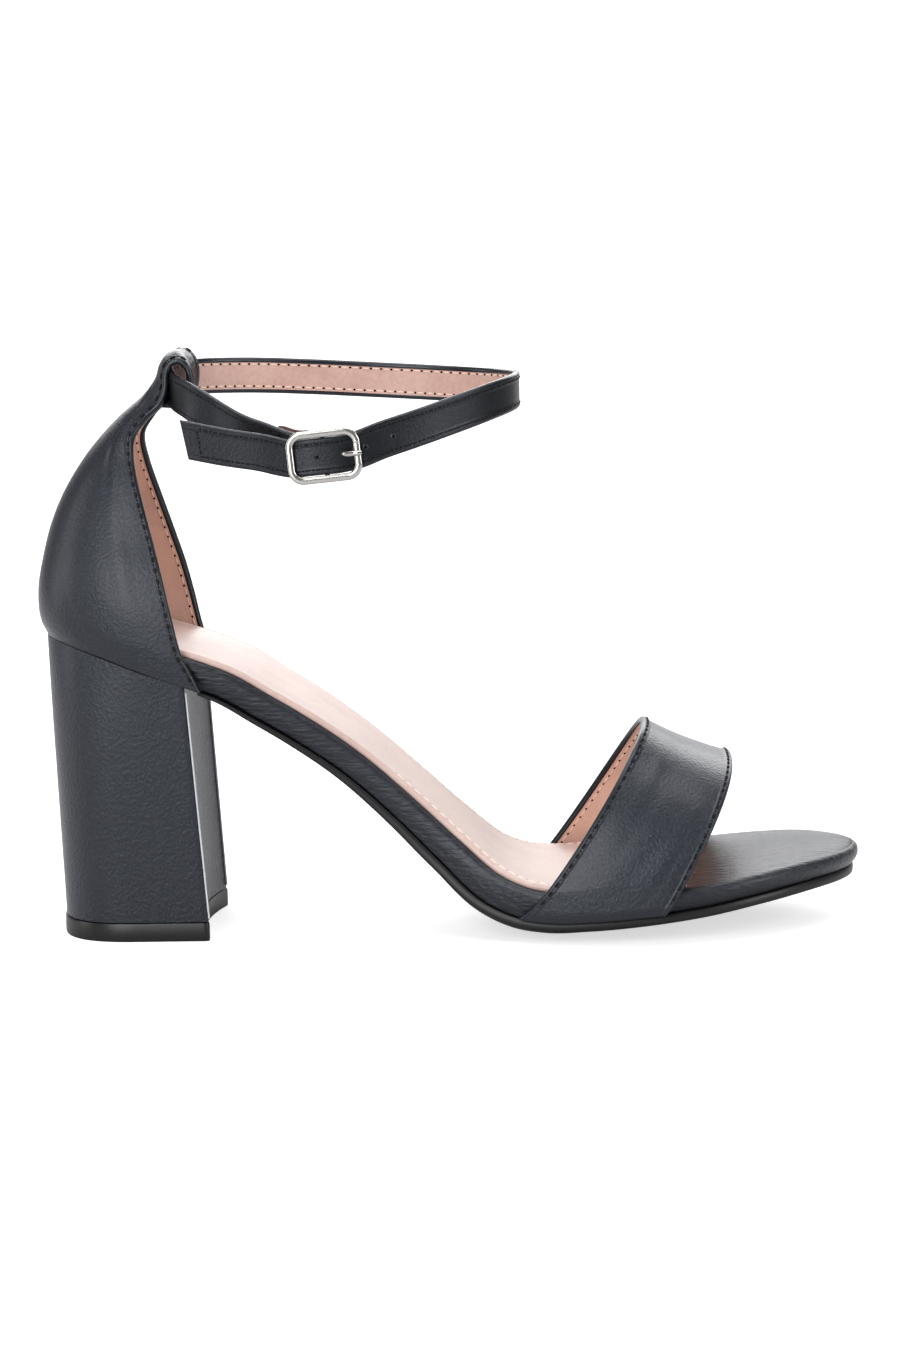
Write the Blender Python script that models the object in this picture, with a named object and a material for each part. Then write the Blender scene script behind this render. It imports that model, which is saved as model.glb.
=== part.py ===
"""A right-foot block heel sandal: heel cup with a tab, ankle strap with a buckle, and one band over the toes.

Metres, +Z up. The toe points along +X, and the outer side of the foot, with the buckle, faces -Y.
The origin is on the floor at the centre of the heel's tread.
"""

import math

import bmesh
import bpy
import numpy as np
from mathutils import Matrix, Vector

# Driving sizes
GAP = 0.0003
SOLE_LENGTH = 0.2263
SOLE_BACK = -0.0238
SEAT_RISE = 0.0775
HEEL_WIDTH = 0.0596
BALL_WIDTH = 0.0766
WALL = 0.0022

OUTSOLE_THICK = 0.0030
TREAD_CROWN = 0.0046
TREAD_LIFT = 0.0036
RIM_THICK = 0.0074
RIM_ROUND = 0.0020
SOCK_THICK = 0.0015
SOCK_MARGIN = 0.0016
SOCK_LENGTH = 0.176

HEEL_BLOCK_LENGTH = 0.0405
HEEL_BLOCK_FOOT = 0.0422
HEEL_BLOCK_WIDTH = 0.0566
HEEL_BLOCK_FOOT_WIDTH = 0.0494
HEEL_OVERHANG = 0.0021
HEEL_BACK_LEAN = 0.0026
BREAST_HOLLOW = 0.0036
LIFT_THICK = 0.0050
LIFT_PROUD = 0.0004

CUP_LENGTH = 0.0470
CUP_HEIGHT = 0.0660
TAB_WIDTH = 0.0164
TAB_WALL = 0.0016
TAB_DEPTH = 0.0106
TAB_TILT = 0.0022

BAND_RISE_BACK = 0.0500
BAND_RISE_FRONT = 0.0366
BAND_WALL = 0.0018
BAND_BACK_FOOT = 0.1310
BAND_BACK_TOP = 0.1662
BAND_FRONT_FOOT = 0.1712
BAND_FRONT_TOP = 0.1908
BAND_SKEW = 0.0110

STRAP_WIDTH = 0.0100
STRAP_THICK = 0.0018
LOOP_LENGTH = 0.0950
LOOP_WIDTH = 0.0640
LOOP_BACK = 0.0144
STRAP_HEIGHT = 0.1524
STRAP_DROP = 0.0196
TIP_LENGTH = 0.0350
TIP_SLANT = 0.0042

BUCKLE_LENGTH = 0.0200
BUCKLE_HEIGHT = 0.0144
BUCKLE_BAR = 0.0019
BUCKLE_CORNER = 0.0042
PIN_RADIUS = 0.0007
BUCKLE_SLOPE = math.radians(5.2)

MERGE = 0.000002

# Sections of the sole from heel to toe.
# along: share of SOLE_LENGTH; rise: share of SEAT_RISE, for the underside of the covered board
# rim: share of RIM_THICK; heel, outer and inner: shares of half the heel's and half the ball's width
# crown: share of TREAD_CROWN; dome: how far the top is domed across, as a share of RIM_THICK
SOLE_COLUMNS = ("along", "rise", "rim", "heel", "outer", "inner", "crown", "dome")
SOLE_TABLE = (
    (0.00, 1.000, 1.00, 1.00, 0.000, 0.000, 0.0, -0.10),
    (0.06, 0.948, 1.00, 1.00, 0.000, 0.000, 0.0, -0.14),
    (0.13, 0.875, 1.00, 1.00, 0.000, 0.000, 0.0, -0.14),
    (0.19, 0.815, 1.03, 0.98, 0.010, 0.000, 0.0, -0.12),
    (0.22, 0.780, 1.02, 0.90, 0.060, 0.030, 0.0, -0.10),
    (0.26, 0.712, 1.00, 0.75, 0.150, 0.100, 0.0, -0.08),
    (0.30, 0.643, 0.98, 0.60, 0.240, 0.175, 0.0, -0.05),
    (0.37, 0.502, 0.95, 0.35, 0.395, 0.290, 0.1, 0.00),
    (0.43, 0.347, 0.97, 0.20, 0.525, 0.390, 0.2, 0.00),
    (0.48, 0.204, 1.04, 0.10, 0.650, 0.490, 0.4, 0.00),
    (0.53, 0.071, 1.13, 0.04, 0.790, 0.610, 0.7, 0.00),
    (0.57, 0.017, 1.14, 0.00, 0.890, 0.710, 0.9, 0.00),
    (0.61, 0.000, 1.08, 0.00, 0.950, 0.800, 1.0, 0.00),
    (0.66, 0.005, 0.99, 0.00, 1.000, 0.890, 1.0, 0.04),
    (0.73, 0.023, 0.91, 0.00, 1.030, 0.980, 1.0, 0.12),
    (0.80, 0.046, 0.82, 0.00, 1.020, 1.010, 0.8, 0.18),
    (0.87, 0.076, 0.76, 0.00, 1.010, 1.010, 0.5, 0.20),
    (0.94, 0.099, 0.74, 0.00, 1.000, 1.010, 0.3, 0.20),
    (1.00, 0.104, 0.70, 0.00, 1.000, 1.010, 0.1, 0.20),
)

# Where the outline turns in at its ends: share of SOLE_LENGTH where it starts, and how square it is
HEEL_TURN, HEEL_SQUARE = 0.19, 2.7
OUTER_TOE_TURN, OUTER_TOE_SQUARE = 0.745, 1.85
INNER_TOE_TURN, INNER_TOE_SQUARE = 0.770, 2.0
TOE_TIP_SHIFT = 0.0070

# Rows of the heel cup, from the heel seat up to the foot of the tab
# Columns: back, back_up, edge, edge_up, half, rounded, wall, tilt
# back and edge: shares of CUP_LENGTH; back_up and edge_up: shares of CUP_HEIGHT above the heel seat
# half: share of half of HEEL_WIDTH; rounded: 1 for a full cup, 0 for a flat strip
# wall: share of WALL; tilt: share of TAB_TILT that the inner side's edge lies higher
CUP_TABLE = (
    (0.044, 0.000, 1.000, 0.000, 0.962, 1.00, 1.00, 0.0),
    (0.012, 0.050, 0.950, 0.064, 0.985, 1.00, 1.00, 0.0),
    (0.000, 0.115, 0.890, 0.139, 1.000, 1.00, 1.00, 0.0),
    (0.006, 0.208, 0.838, 0.294, 0.993, 0.97, 1.00, 0.0),
    (0.038, 0.321, 0.796, 0.420, 0.940, 0.95, 1.00, 0.0),
    (0.089, 0.462, 0.745, 0.545, 0.832, 0.90, 1.00, 0.0),
    (0.170, 0.610, 0.685, 0.683, 0.715, 0.82, 0.97, 0.0),
    (0.287, 0.767, 0.630, 0.822, 0.570, 0.70, 0.93, 0.0),
    (0.409, 0.901, 0.604, 0.937, 0.403, 0.50, 0.88, 0.1),
    (0.528, 1.015, 0.640, 1.030, 0.310, 0.30, 0.82, 0.2),
    (0.640, 1.110, 0.715, 1.110, 0.280, 0.12, 0.76, 0.4),
)

# The tab that closes round the strap, from the top of the cup over, down and back in
# Columns: deep, high, bow, fall, half, tilt
# deep: share of TAB_DEPTH forward of its back; high: share of STRAP_WIDTH above the strap's middle
# bow: share of TAB_DEPTH that its side edges lie forward; fall: share of STRAP_WIDTH that they lie lower
# half: share of half of TAB_WIDTH; tilt: as above
TAB_TABLE = (
    (0.00, 0.00, 0.20, 0.24, 1.00, 0.7),
    (0.14, 0.40, 0.14, 0.25, 1.00, 1.0),
    (0.36, 0.70, 0.14, 0.26, 1.00, 1.1),
    (0.64, 0.80, 0.14, 0.27, 1.00, 1.1),
    (0.88, 0.64, 0.14, 0.27, 1.00, 1.1),
    (1.00, 0.30, 0.14, 0.27, 1.00, 1.1),
    (0.98, -0.10, 0.14, 0.30, 1.00, 1.0),
    (0.84, -0.56, 0.14, 0.34, 1.00, 1.1),
    (0.50, -0.85, 0.16, 0.15, 0.93, 0.8),
    (0.14, -0.91, 0.20, 0.10, 0.80, 0.5),
    (-0.30, -0.94, 0.22, 0.06, 0.68, 0.3),
)

# The strap round the ankle, from the buckle's short side, behind the heel, and back along the outer side
# Columns: along, side, down
# along: share of LOOP_LENGTH from the back; side: share of half of LOOP_WIDTH; down: share of STRAP_DROP
STRAP_TABLE = (
    (0.290, -0.890, 0.806),
    (0.225, -0.800, 0.700),
    (0.155, -0.655, 0.530),
    (0.075, -0.480, 0.270),
    (0.027, -0.260, 0.135),
    (0.003, -0.030, 0.030),
    (0.018, 0.240, 0.015),
    (0.085, 0.490, 0.010),
    (0.215, 0.735, 0.030),
    (0.375, 0.910, 0.080),
    (0.550, 0.975, 0.140),
    (0.715, 0.920, 0.190),
    (0.850, 0.760, 0.225),
    (0.945, 0.490, 0.240),
    (0.992, 0.160, 0.240),
    (0.985, -0.180, 0.270),
    (0.925, -0.500, 0.360),
    (0.820, -0.760, 0.520),
    (0.700, -0.955, 0.700),
    (0.610, -1.055, 0.830),
)
BUCKLE_ALONG = 0.465
BUCKLE_SIDE = -0.990
BUCKLE_DOWN = 1.000

COLOURS = {
    "black_leather": ((0.020, 0.022, 0.028, 1.0), 0.42, 0.0),
    "black_rubber": ((0.012, 0.012, 0.013, 1.0), 0.50, 0.0),
    "nude_lining": ((0.620, 0.370, 0.290, 1.0), 0.45, 0.0),
    "steel": ((0.720, 0.710, 0.690, 1.0), 0.18, 1.0),
}


def column(table, columns, name):
    return np.array([row[columns.index(name)] for row in table], float)


def smooth(at, stations, values):
    """A smooth curve through values or points, read at one place along its stations."""
    slopes = np.gradient(values, stations, axis=0)
    at = min(max(at, stations[0]), stations[-1])
    row = min(max(int(np.searchsorted(stations, at)) - 1, 0), len(stations) - 2)
    span = stations[row + 1] - stations[row]
    t = (at - stations[row]) / span
    start = (2 * t**3 - 3 * t**2 + 1) * values[row] + (t**3 - 2 * t**2 + t) * span * slopes[row]
    end = (3 * t**2 - 2 * t**3) * values[row + 1] + (t**3 - t**2) * span * slopes[row + 1]
    return start + end


SOLE = {name: column(SOLE_TABLE, SOLE_COLUMNS, name) for name in SOLE_COLUMNS}


def sole(name, along):
    return smooth(along, SOLE["along"], SOLE[name])


def superellipse(share, square):
    """The half width, as a share, where share runs from 0 at the widest place to 1 at the end."""
    return (1.0 - min(max(share, 0.0), 1.0) ** square) ** (1.0 / square)


# The sole's own line and outline

BOARD_BACK = SOLE_BACK + WALL + GAP
BOARD_LENGTH = SOLE_LENGTH - WALL - GAP
HALF_HEEL = HEEL_WIDTH / 2 - WALL - GAP
HALF_BALL = BALL_WIDTH / 2
BOARD_BASE = TREAD_LIFT + OUTSOLE_THICK - GAP


def along_of(x):
    return (x - BOARD_BACK) / BOARD_LENGTH


def seat_z(x):
    """The underside of the covered board, at its edge."""
    return BOARD_BASE + SEAT_RISE * sole("rise", along_of(x))


def rim_thick(along):
    return RIM_THICK * sole("rim", along)


def half_width(along, side):
    """How far the board reaches from the middle line, to the outer side (-1) or the inner side (1)."""
    wide = HALF_HEEL * sole("heel", along) + HALF_BALL * sole("outer" if side < 0 else "inner", along)
    turn, square = (OUTER_TOE_TURN, OUTER_TOE_SQUARE) if side < 0 else (INNER_TOE_TURN, INNER_TOE_SQUARE)
    tip = side * TOE_TIP_SHIFT
    if along > turn:
        return tip + (wide - tip) * superellipse((along - turn) / (1 - turn), square)
    if along < HEEL_TURN:
        return wide * superellipse((HEEL_TURN - along) / HEEL_TURN, HEEL_SQUARE)
    return wide


def stack_point(along, across, level, inset=0.0):
    """A point of the layers under the foot: level is its height over the board's underside."""
    inner = half_width(along, 1)
    outer = half_width(along, -1)
    narrow = 1.0 - inset / HALF_HEEL
    side = (inner - outer) / 2 + across * (inner + outer) / 2 * narrow
    x = BOARD_BACK + inset + along * (BOARD_LENGTH - 2 * inset)
    step = 0.001
    slope = (seat_z(x + step) - seat_z(x - step)) / (2 * step)
    lean = slope * min(max((along - 0.06) / 0.16, 0.0), 1.0)
    size = math.hypot(1.0, lean)
    return Vector((x - level * lean / size, side, seat_z(x) + level / size))


def side_tuck(along, up):
    """How far the covered board's side lies in from its widest outline: up is 0 underneath and 1 on top."""
    return RIM_ROUND * (1 + 0.4 * sole("heel", along)) * (1 - up) ** 2 + RIM_ROUND * 0.3 * up**3


def edge_share(along, across):
    """How near a place is to the edge, from 0 to 1. Where the outline closes, all of it is edge."""
    wide = half_width(along, 1) + half_width(along, -1)
    return 1.0 - (1.0 - abs(across)) * min(wide / HALF_HEEL, 1.0)


def dome(along, across):
    """The top of the board across: hollow under the heel, domed under the toes."""
    return RIM_THICK * sole("dome", along) * (1.0 - edge_share(along, across) ** 2)


def crown(along, across):
    """How far the underside bulges down between its edges."""
    return TREAD_CROWN * sole("crown", along) * (1.0 - edge_share(along, across) ** 2)


# Making solids


def material(name):
    made = bpy.data.materials.get(name)
    if made is None:
        made = bpy.data.materials.new(name)
        made.use_nodes = True
        colour, rough, metal = COLOURS[name]
        surface = made.node_tree.nodes["Principled BSDF"]
        surface.inputs["Base Color"].default_value = colour
        surface.inputs["Roughness"].default_value = rough
        surface.inputs["Metallic"].default_value = metal
    return made


def add_object(name, mesh, finish, collection):
    item = bpy.data.objects.new(name, mesh)
    mesh.materials.clear()
    mesh.materials.append(material(finish))
    mesh.shade_smooth()
    mesh.set_sharp_from_angle(angle=math.radians(40))
    collection.objects.link(item)
    return item


def shaped_block(name, finish, collection, cuts, place):
    """A cube that is cut into slices, and whose corners then move to place(along, across, up)."""
    bm = bmesh.new()
    bmesh.ops.create_cube(bm, size=1.0)
    bmesh.ops.translate(bm, vec=(0.5, 0.5, 0.5), verts=bm.verts)
    for axis, shares in enumerate(cuts):
        for share in shares:
            point = Vector((0.0, 0.0, 0.0))
            point[axis] = share
            normal = Vector((0.0, 0.0, 0.0))
            normal[axis] = 1.0
            whole = bm.verts[:] + bm.edges[:] + bm.faces[:]
            bmesh.ops.bisect_plane(bm, geom=whole, plane_co=point, plane_no=normal)
    for corner in bm.verts:
        corner.co = place(*corner.co)
    bmesh.ops.remove_doubles(bm, verts=bm.verts, dist=MERGE)
    bmesh.ops.recalc_face_normals(bm, faces=bm.faces)
    mesh = bpy.data.meshes.new(name)
    bm.to_mesh(mesh)
    bm.free()
    return add_object(name, mesh, finish, collection)


def even(count):
    """Slices at even steps."""
    return [step / count for step in range(1, count)]


def ends_fine(count, share=0.45):
    """Slices that crowd towards both ends."""
    steps = [step / count for step in range(1, count)]
    return [(1 - share) * s + share * (1 - math.cos(math.pi * s)) / 2 for s in steps]


def mix(a, b, share):
    return a + (b - a) * share


# The layers under the foot

ACROSS_BOARD = [0.035, 0.12, 0.30, 0.50, 0.70, 0.88, 0.965]


def make_footbed(parts):
    def place(along, across, up):
        side = 2 * across - 1
        level = up * (rim_thick(along) + dome(along, side)) - (1 - up) * 0.6 * crown(along, side)
        edge = max(edge_share(along, side) - 0.86, 0.0) / 0.14
        level -= up * 0.12 * RIM_THICK * edge**2
        return stack_point(along, side, level, side_tuck(along, up))

    cuts = (ends_fine(40), ACROSS_BOARD, (0.25, 0.55, 0.85))
    return shaped_block("footbed", "black_leather", parts, cuts, place)


def make_sock(parts):
    front = SOCK_LENGTH / BOARD_LENGTH

    def place(along, across, up):
        side = 2 * across - 1
        margin = 1 - SOCK_MARGIN / HALF_HEEL
        level = rim_thick(along * front) + dome(along * front, side * margin) + GAP + up * SOCK_THICK
        return stack_point(along * front, side, level, SOCK_MARGIN)

    cuts = (ends_fine(34, 0.3), ACROSS_BOARD, ())
    return shaped_block("sock", "nude_lining", parts, cuts, place)


def make_outsole(parts):
    start = along_of(HEEL_FRONT + HEEL_OVERHANG)
    inset = 0.5 * RIM_ROUND + 0.0008

    def place(along, across, up):
        side = 2 * across - 1
        at = mix(start, 1.0, along)
        thin = OUTSOLE_THICK * min(1.0, 0.45 + 1.6 * along)
        upper = -GAP - 0.6 * crown(at, side)
        lower = -thin - crown(at, side)
        spot = stack_point(at, side, mix(lower, upper, up), inset + (1 - up) * 0.0006)
        spot.z = max(spot.z, 0.0)
        return spot

    cuts = (ends_fine(34, 0.3), [0.04, 0.14, 0.26, 0.38, 0.5, 0.62, 0.74, 0.86, 0.96], ())
    return shaped_block("outsole", "black_rubber", parts, cuts, place)


# The heel

HEEL_BACK = SOLE_BACK + HEEL_OVERHANG
HEEL_FRONT = HEEL_BACK + HEEL_BLOCK_LENGTH
FOOT_BACK = HEEL_BACK + HEEL_BACK_LEAN
FOOT_FRONT = FOOT_BACK + HEEL_BLOCK_FOOT
LIFT_TOP = LIFT_THICK


def heel_plan(along, across, up):
    """The heel's outline: up is 0 at the floor and 1 at the seat."""
    side = 2 * across - 1
    back = mix(FOOT_BACK, HEEL_BACK, up)
    front = mix(FOOT_FRONT, HEEL_FRONT, up) - BREAST_HOLLOW * (1 - side**2)
    half = mix(HEEL_BLOCK_FOOT_WIDTH, HEEL_BLOCK_WIDTH, up) / 2
    turn = 0.52
    if along < turn:
        half *= superellipse((turn - along) / turn, 2.5)
    return mix(back, front, along), side * half


HEEL_CUTS_ALONG = [0.008, 0.03, 0.07, 0.12, 0.19, 0.28, 0.40, 0.55, 0.78]


def make_heel_block(parts):
    def place(along, across, up):
        x, y = heel_plan(along, across, up)
        top = seat_z(x) - GAP
        return Vector((x, y, mix(LIFT_TOP + GAP, top, up)))

    cuts = (HEEL_CUTS_ALONG, even(8), (0.3, 0.6, 0.85))
    return shaped_block("heel_block", "black_leather", parts, cuts, place)


def make_top_lift(parts):
    def place(along, across, up):
        x, y = heel_plan(along, across, up * LIFT_THICK / (SEAT_RISE + BOARD_BASE))
        middle = (FOOT_BACK + FOOT_FRONT) / 2
        proud = LIFT_PROUD * 2 / HEEL_BLOCK_FOOT_WIDTH
        return Vector((middle + (x - middle) * (1 + proud), y * (1 + proud), up * LIFT_TOP))

    return shaped_block("top_lift", "black_rubber", parts, (HEEL_CUTS_ALONG, even(8), ()), place)


# The heel cup and its tab


def strap_middle(along, side, down):
    return Vector((LOOP_BACK + along * LOOP_LENGTH, side * LOOP_WIDTH / 2, STRAP_HEIGHT - down * STRAP_DROP))


def cup_rows():
    """The cup's rows and then the tab's, in metres.

    Each is back x and height, edge x and height, half width, roundness, wall and tilt, with heights over the seat.
    """
    rows = []
    for back, back_up, edge, edge_up, half, rounded, wall, tilt in CUP_TABLE:
        back_x = SOLE_BACK + back * CUP_LENGTH
        edge_x = SOLE_BACK + edge * CUP_LENGTH
        wide = half * HEEL_WIDTH / 2
        heights = back_up * CUP_HEIGHT, edge_up * CUP_HEIGHT
        rows.append((back_x, heights[0], edge_x, heights[1], wide, rounded, wall * WALL, tilt * TAB_TILT))
    tab_back = LOOP_BACK - STRAP_THICK / 2 - GAP - TAB_WALL - TAB_DEPTH * 0.18
    for deep, high, bow, fall, half, tilt in TAB_TABLE:
        back_x = tab_back + deep * TAB_DEPTH
        edge_x = back_x + bow * TAB_DEPTH
        back_up = STRAP_HEIGHT + high * STRAP_WIDTH - seat_z(back_x)
        edge_up = STRAP_HEIGHT + (high - fall) * STRAP_WIDTH - seat_z(edge_x)
        rows.append((back_x, back_up, edge_x, edge_up, half * TAB_WIDTH / 2, 0.0, TAB_WALL, tilt * TAB_TILT))
    return np.array(rows)


def make_heel_cup(parts):
    rows = cup_rows()
    steps = np.linspace(0.0, 1.0, len(rows))

    def surface(across, up):
        back_x, back_up, edge_x, edge_up, half, rounded, _, tilt = (
            smooth(up, steps, rows[:, item]) for item in range(8)
        )
        rounded = min(max(rounded, 0.0), 1.0)
        turn = math.sin((2 * across - 1) * math.pi / 2)
        side = math.copysign(abs(turn) ** (1 - 0.26 * rounded), turn)
        square = 2 + 0.7 * rounded
        forward = 1 - max(1 - abs(side) ** square, 0.0) ** (1 / (1 + 1.7 * rounded))
        x = mix(back_x, edge_x, forward)
        z = seat_z(x) + mix(back_up, edge_up, forward) + (tilt * forward if side > 0 else 0.0)
        return Vector((x, side * half, z))

    def place(across, up, depth):
        step = 0.0015
        low, high = max(up - step, 0.0), min(up + step, 1.0)
        left, right = max(across - step, 0.0), min(across + step, 1.0)
        rise = surface(across, high) - surface(across, low)
        run = surface(right, up) - surface(left, up)
        cupped = min(max(4 * smooth(up, steps, rows[:, 5]), 0.0), 1.0)
        run = Vector((run.x * cupped, run.y, run.z * cupped))
        outward = rise.cross(run).normalized()
        wall = smooth(up, steps, rows[:, 6])
        return surface(across, up) - outward * wall * depth

    cuts = (even(22), even(36), ())
    return shaped_block("heel_cup", "black_leather", parts, cuts, place)


# The band over the toes


def make_vamp_band(parts):
    def edge_line(front, inner):
        foot = SOLE_BACK + (BAND_FRONT_FOOT + inner * BAND_SKEW if front else BAND_BACK_FOOT)
        return foot, SOLE_BACK + (BAND_FRONT_TOP if front else BAND_BACK_TOP)

    def surface(around, width):
        turn = math.pi * (around - 0.5)
        side = 1 if turn > 0 else -1
        inner = (1 + math.sin(turn)) / 2
        inner = inner * inner * (3 - 2 * inner)
        spread = abs(math.sin(turn)) ** (2 / 2.5)
        height = max(math.cos(turn), 0.0) ** (2 / 2.5)
        back_foot, back_top = edge_line(False, inner)
        front_foot, front_top = edge_line(True, inner)
        foot_x = mix(back_foot, front_foot, width)
        x = foot_x + (mix(back_top, front_top, width) - foot_x) * height ** 0.85
        near = min(x, foot_x + 0.008)
        rise = mix(BAND_RISE_BACK, BAND_RISE_FRONT, width) + 0.0012 * math.sin(math.pi * width) * height
        up = min(0.3 + rise * height / rim_thick(along_of(near)), 0.72)
        board_side = stack_point(along_of(near), side, 0.0, side_tuck(along_of(near), up)).y
        reach = abs(board_side) + BAND_WALL + 1.3 * GAP
        return Vector((x, side * spread * reach, seat_z(near) + rise * height))

    def place(around, width, depth):
        step = 0.002
        left, right = max(around - step, 0.0), min(around + step, 1.0)
        run = surface(right, width) - surface(left, width)
        deep = surface(around, min(width + step, 1.0)) - surface(around, max(width - step, 0.0))
        inward = run.cross(deep).normalized()
        return surface(around, width) + inward * BAND_WALL * depth

    around = [0.004, 0.010, 0.020, *even(28), 0.980, 0.990, 0.996]
    return shaped_block("vamp_band", "black_leather", parts, (around, even(7), ()), place)


# The ankle strap and its buckle

BUCKLE = strap_middle(BUCKLE_ALONG, BUCKLE_SIDE, BUCKLE_DOWN)
FOLD_RADIUS = PIN_RADIUS + GAP + STRAP_THICK / 2
LAYER = STRAP_THICK + GAP
BAR_DEPTH = FOLD_RADIUS + LAYER
FRAME_DEPTH = BAR_DEPTH + 0.0012


def at_buckle(forward, outward):
    """A point in the buckle's own frame: forward along the strap, outward from the foot."""
    turned = Matrix.Rotation(-BUCKLE_SLOPE, 4, "Y") @ Vector((forward, -outward, 0.0))
    return BUCKLE + turned


def strap_path():
    """The strap's middle line. It starts at the stitched end of the fold round the buckle's middle bar."""
    fold = FOLD_RADIUS
    rise = Vector((0.0, 0.0, STRAP_DROP * 0.05))
    points = [
        at_buckle(-0.0150, -0.0047) + rise * 3.8,
        at_buckle(-0.0100, -0.0026) + rise * 2.4,
        at_buckle(-0.0050, -fold - 0.0002) + rise,
    ]
    points += [
        at_buckle(fold * math.sin(math.radians(turn)), -fold * math.cos(math.radians(turn)))
        for turn in range(0, 181, 30)
    ]
    points += [
        at_buckle(-0.0025, fold - 0.0001) + rise * 0.3,
        at_buckle(-0.0050, 0.0012) + rise,
        at_buckle(-0.0100, -0.0002) + rise * 2.4,
    ]
    points += [strap_middle(*row) for row in STRAP_TABLE]
    half = BUCKLE_LENGTH / 2
    under = FRAME_DEPTH - BUCKLE_BAR / 2 - GAP - STRAP_THICK / 2
    points += [
        at_buckle(half + 0.0020, under - 0.0002) + Vector((0.0, 0.0, 0.0014)),
        at_buckle(half - 0.0016, under) + Vector((0.0, 0.0, 0.0005)),
        at_buckle(0.42 * half, BAR_DEPTH - 0.0002),
        at_buckle(0.0, BAR_DEPTH),
        at_buckle(-0.42 * half, BAR_DEPTH - 0.0002),
        at_buckle(-half + 0.0016, under),
        at_buckle(-half - 0.0015, under) + Vector((0.0, 0.0, 0.0008)),
    ]
    tip = strap_middle(BUCKLE_ALONG, BUCKLE_SIDE, BUCKLE_DOWN)
    for share, out, lift in ((0.48, 0.0002, 0.0011), (0.74, 0.0002, 0.0026), (1.0, 0.0004, 0.0045)):
        points.append(tip + Vector((-TIP_LENGTH * share, -under - out, lift)))
    return points


def ribbon(name, finish, collection, points, width, thick, tip_slant):
    """A flat strip swept on its edge along a smooth line through the points."""
    line = np.array([tuple(point) for point in points])
    chords = np.linalg.norm(np.diff(line, axis=0), axis=1)
    places = np.concatenate([[0.0], np.cumsum(np.sqrt(chords))])
    total = places[-1]

    def middle(share):
        return Vector(smooth(share * total, places, line))

    def place(along, across, up):
        spot = middle(along)
        run = (middle(min(along + 0.0015, 1.0)) - middle(max(along - 0.0015, 0.0))).normalized()
        lean = BUCKLE_SLOPE if (spot - BUCKLE).length < BUCKLE_LENGTH else 0.0
        high = Vector((-math.sin(lean), 0.0, math.cos(lean)))
        high = (high - high.dot(run) * run).normalized()
        out = run.cross(high)
        shift = Vector((0.0, 0.0, 0.0))
        if along == 1.0:
            shift = run * tip_slant * across
        return spot + high * (across - 0.5) * width + out * (up - 0.5) * thick + shift

    steps = []
    for row in range(len(places) - 1):
        parts_here = max(1, round(chords[row] / 0.0032))
        for part in range(parts_here):
            steps.append((places[row] + (places[row + 1] - places[row]) * part / parts_here) / total)
    cuts = (steps[1:], (0.5,), ())
    return shaped_block(name, finish, collection, cuts, place)


def cutter(name, helpers, shape):
    """A helper that cuts, kept out of the part."""
    shape.name = name
    for owner in list(shape.users_collection):
        owner.objects.unlink(shape)
    helpers.objects.link(shape)
    shape.hide_render = True
    shape.display_type = "WIRE"
    return shape


def cut(target, tool, operation="DIFFERENCE"):
    change = target.modifiers.new(tool.name, "BOOLEAN")
    change.operation = operation
    change.solver = "EXACT"
    change.object = tool


def buckle_frame_turn():
    return Matrix.Rotation(-BUCKLE_SLOPE, 4, "Y")


def place_at_buckle(item):
    item.matrix_world = Matrix.Translation(BUCKLE) @ buckle_frame_turn()
    return item


def make_ankle_strap(parts, helpers):
    strap = ribbon("ankle_strap", "black_leather", parts, strap_path(), STRAP_WIDTH, STRAP_THICK, TIP_SLANT)
    bpy.ops.mesh.primitive_cube_add(size=1.0)
    slot = cutter("fold_slot", helpers, bpy.context.object)
    reach = FOLD_RADIUS + STRAP_THICK
    slot.data.transform(Matrix.Diagonal((2 * reach, 2 * BAR_DEPTH - 0.0012, 2 * PIN_RADIUS + 3 * GAP, 1.0)))
    slot.data.transform(Matrix.Translation((reach * 0.25, 0.0, 0.0)))
    place_at_buckle(slot)
    cut(strap, slot)
    bpy.ops.mesh.primitive_cube_add(size=1.0)
    hole = cutter("prong_hole", helpers, bpy.context.object)
    hole.data.transform(Matrix.Diagonal((0.0046, 0.0046, 2 * PIN_RADIUS + 3 * GAP, 1.0)))
    hole.data.transform(Matrix.Translation((0.0050, -BAR_DEPTH, 0.0)))
    place_at_buckle(hole)
    cut(strap, hole)
    return strap


def wire(name, finish, collection, points, radius, closed=False):
    """A round wire through the points, as a mesh with welded caps."""
    data = bpy.data.curves.new(name, "CURVE")
    data.dimensions = "3D"
    data.bevel_depth = radius
    data.bevel_resolution = 2
    data.use_fill_caps = not closed
    line = data.splines.new("POLY")
    line.points.add(len(points) - 1)
    for spot, point in zip(line.points, points):
        spot.co = (*point, 1.0)
    line.use_cyclic_u = closed
    guide = bpy.data.objects.new(name + "_guide", data)
    collection.objects.link(guide)
    bpy.context.view_layer.update()
    graph = bpy.context.evaluated_depsgraph_get()
    mesh = bpy.data.meshes.new_from_object(guide.evaluated_get(graph))
    bpy.data.objects.remove(guide)
    bm = bmesh.new()
    bm.from_mesh(mesh)
    bmesh.ops.remove_doubles(bm, verts=bm.verts, dist=MERGE)
    bmesh.ops.recalc_face_normals(bm, faces=bm.faces)
    bm.to_mesh(mesh)
    bm.free()
    mesh.name = name
    return add_object(name, mesh, finish, collection)


def rounded_rectangle(length, height, corner, steps):
    points = []
    for turn, (sx, sz) in enumerate(((1, 1), (-1, 1), (-1, -1), (1, -1))):
        centre = (sx * (length / 2 - corner), sz * (height / 2 - corner))
        for step in range(steps + 1):
            angle = math.radians(90 * turn + 90 * step / steps)
            points.append((centre[0] + corner * math.cos(angle), centre[1] + corner * math.sin(angle)))
    return points


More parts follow.
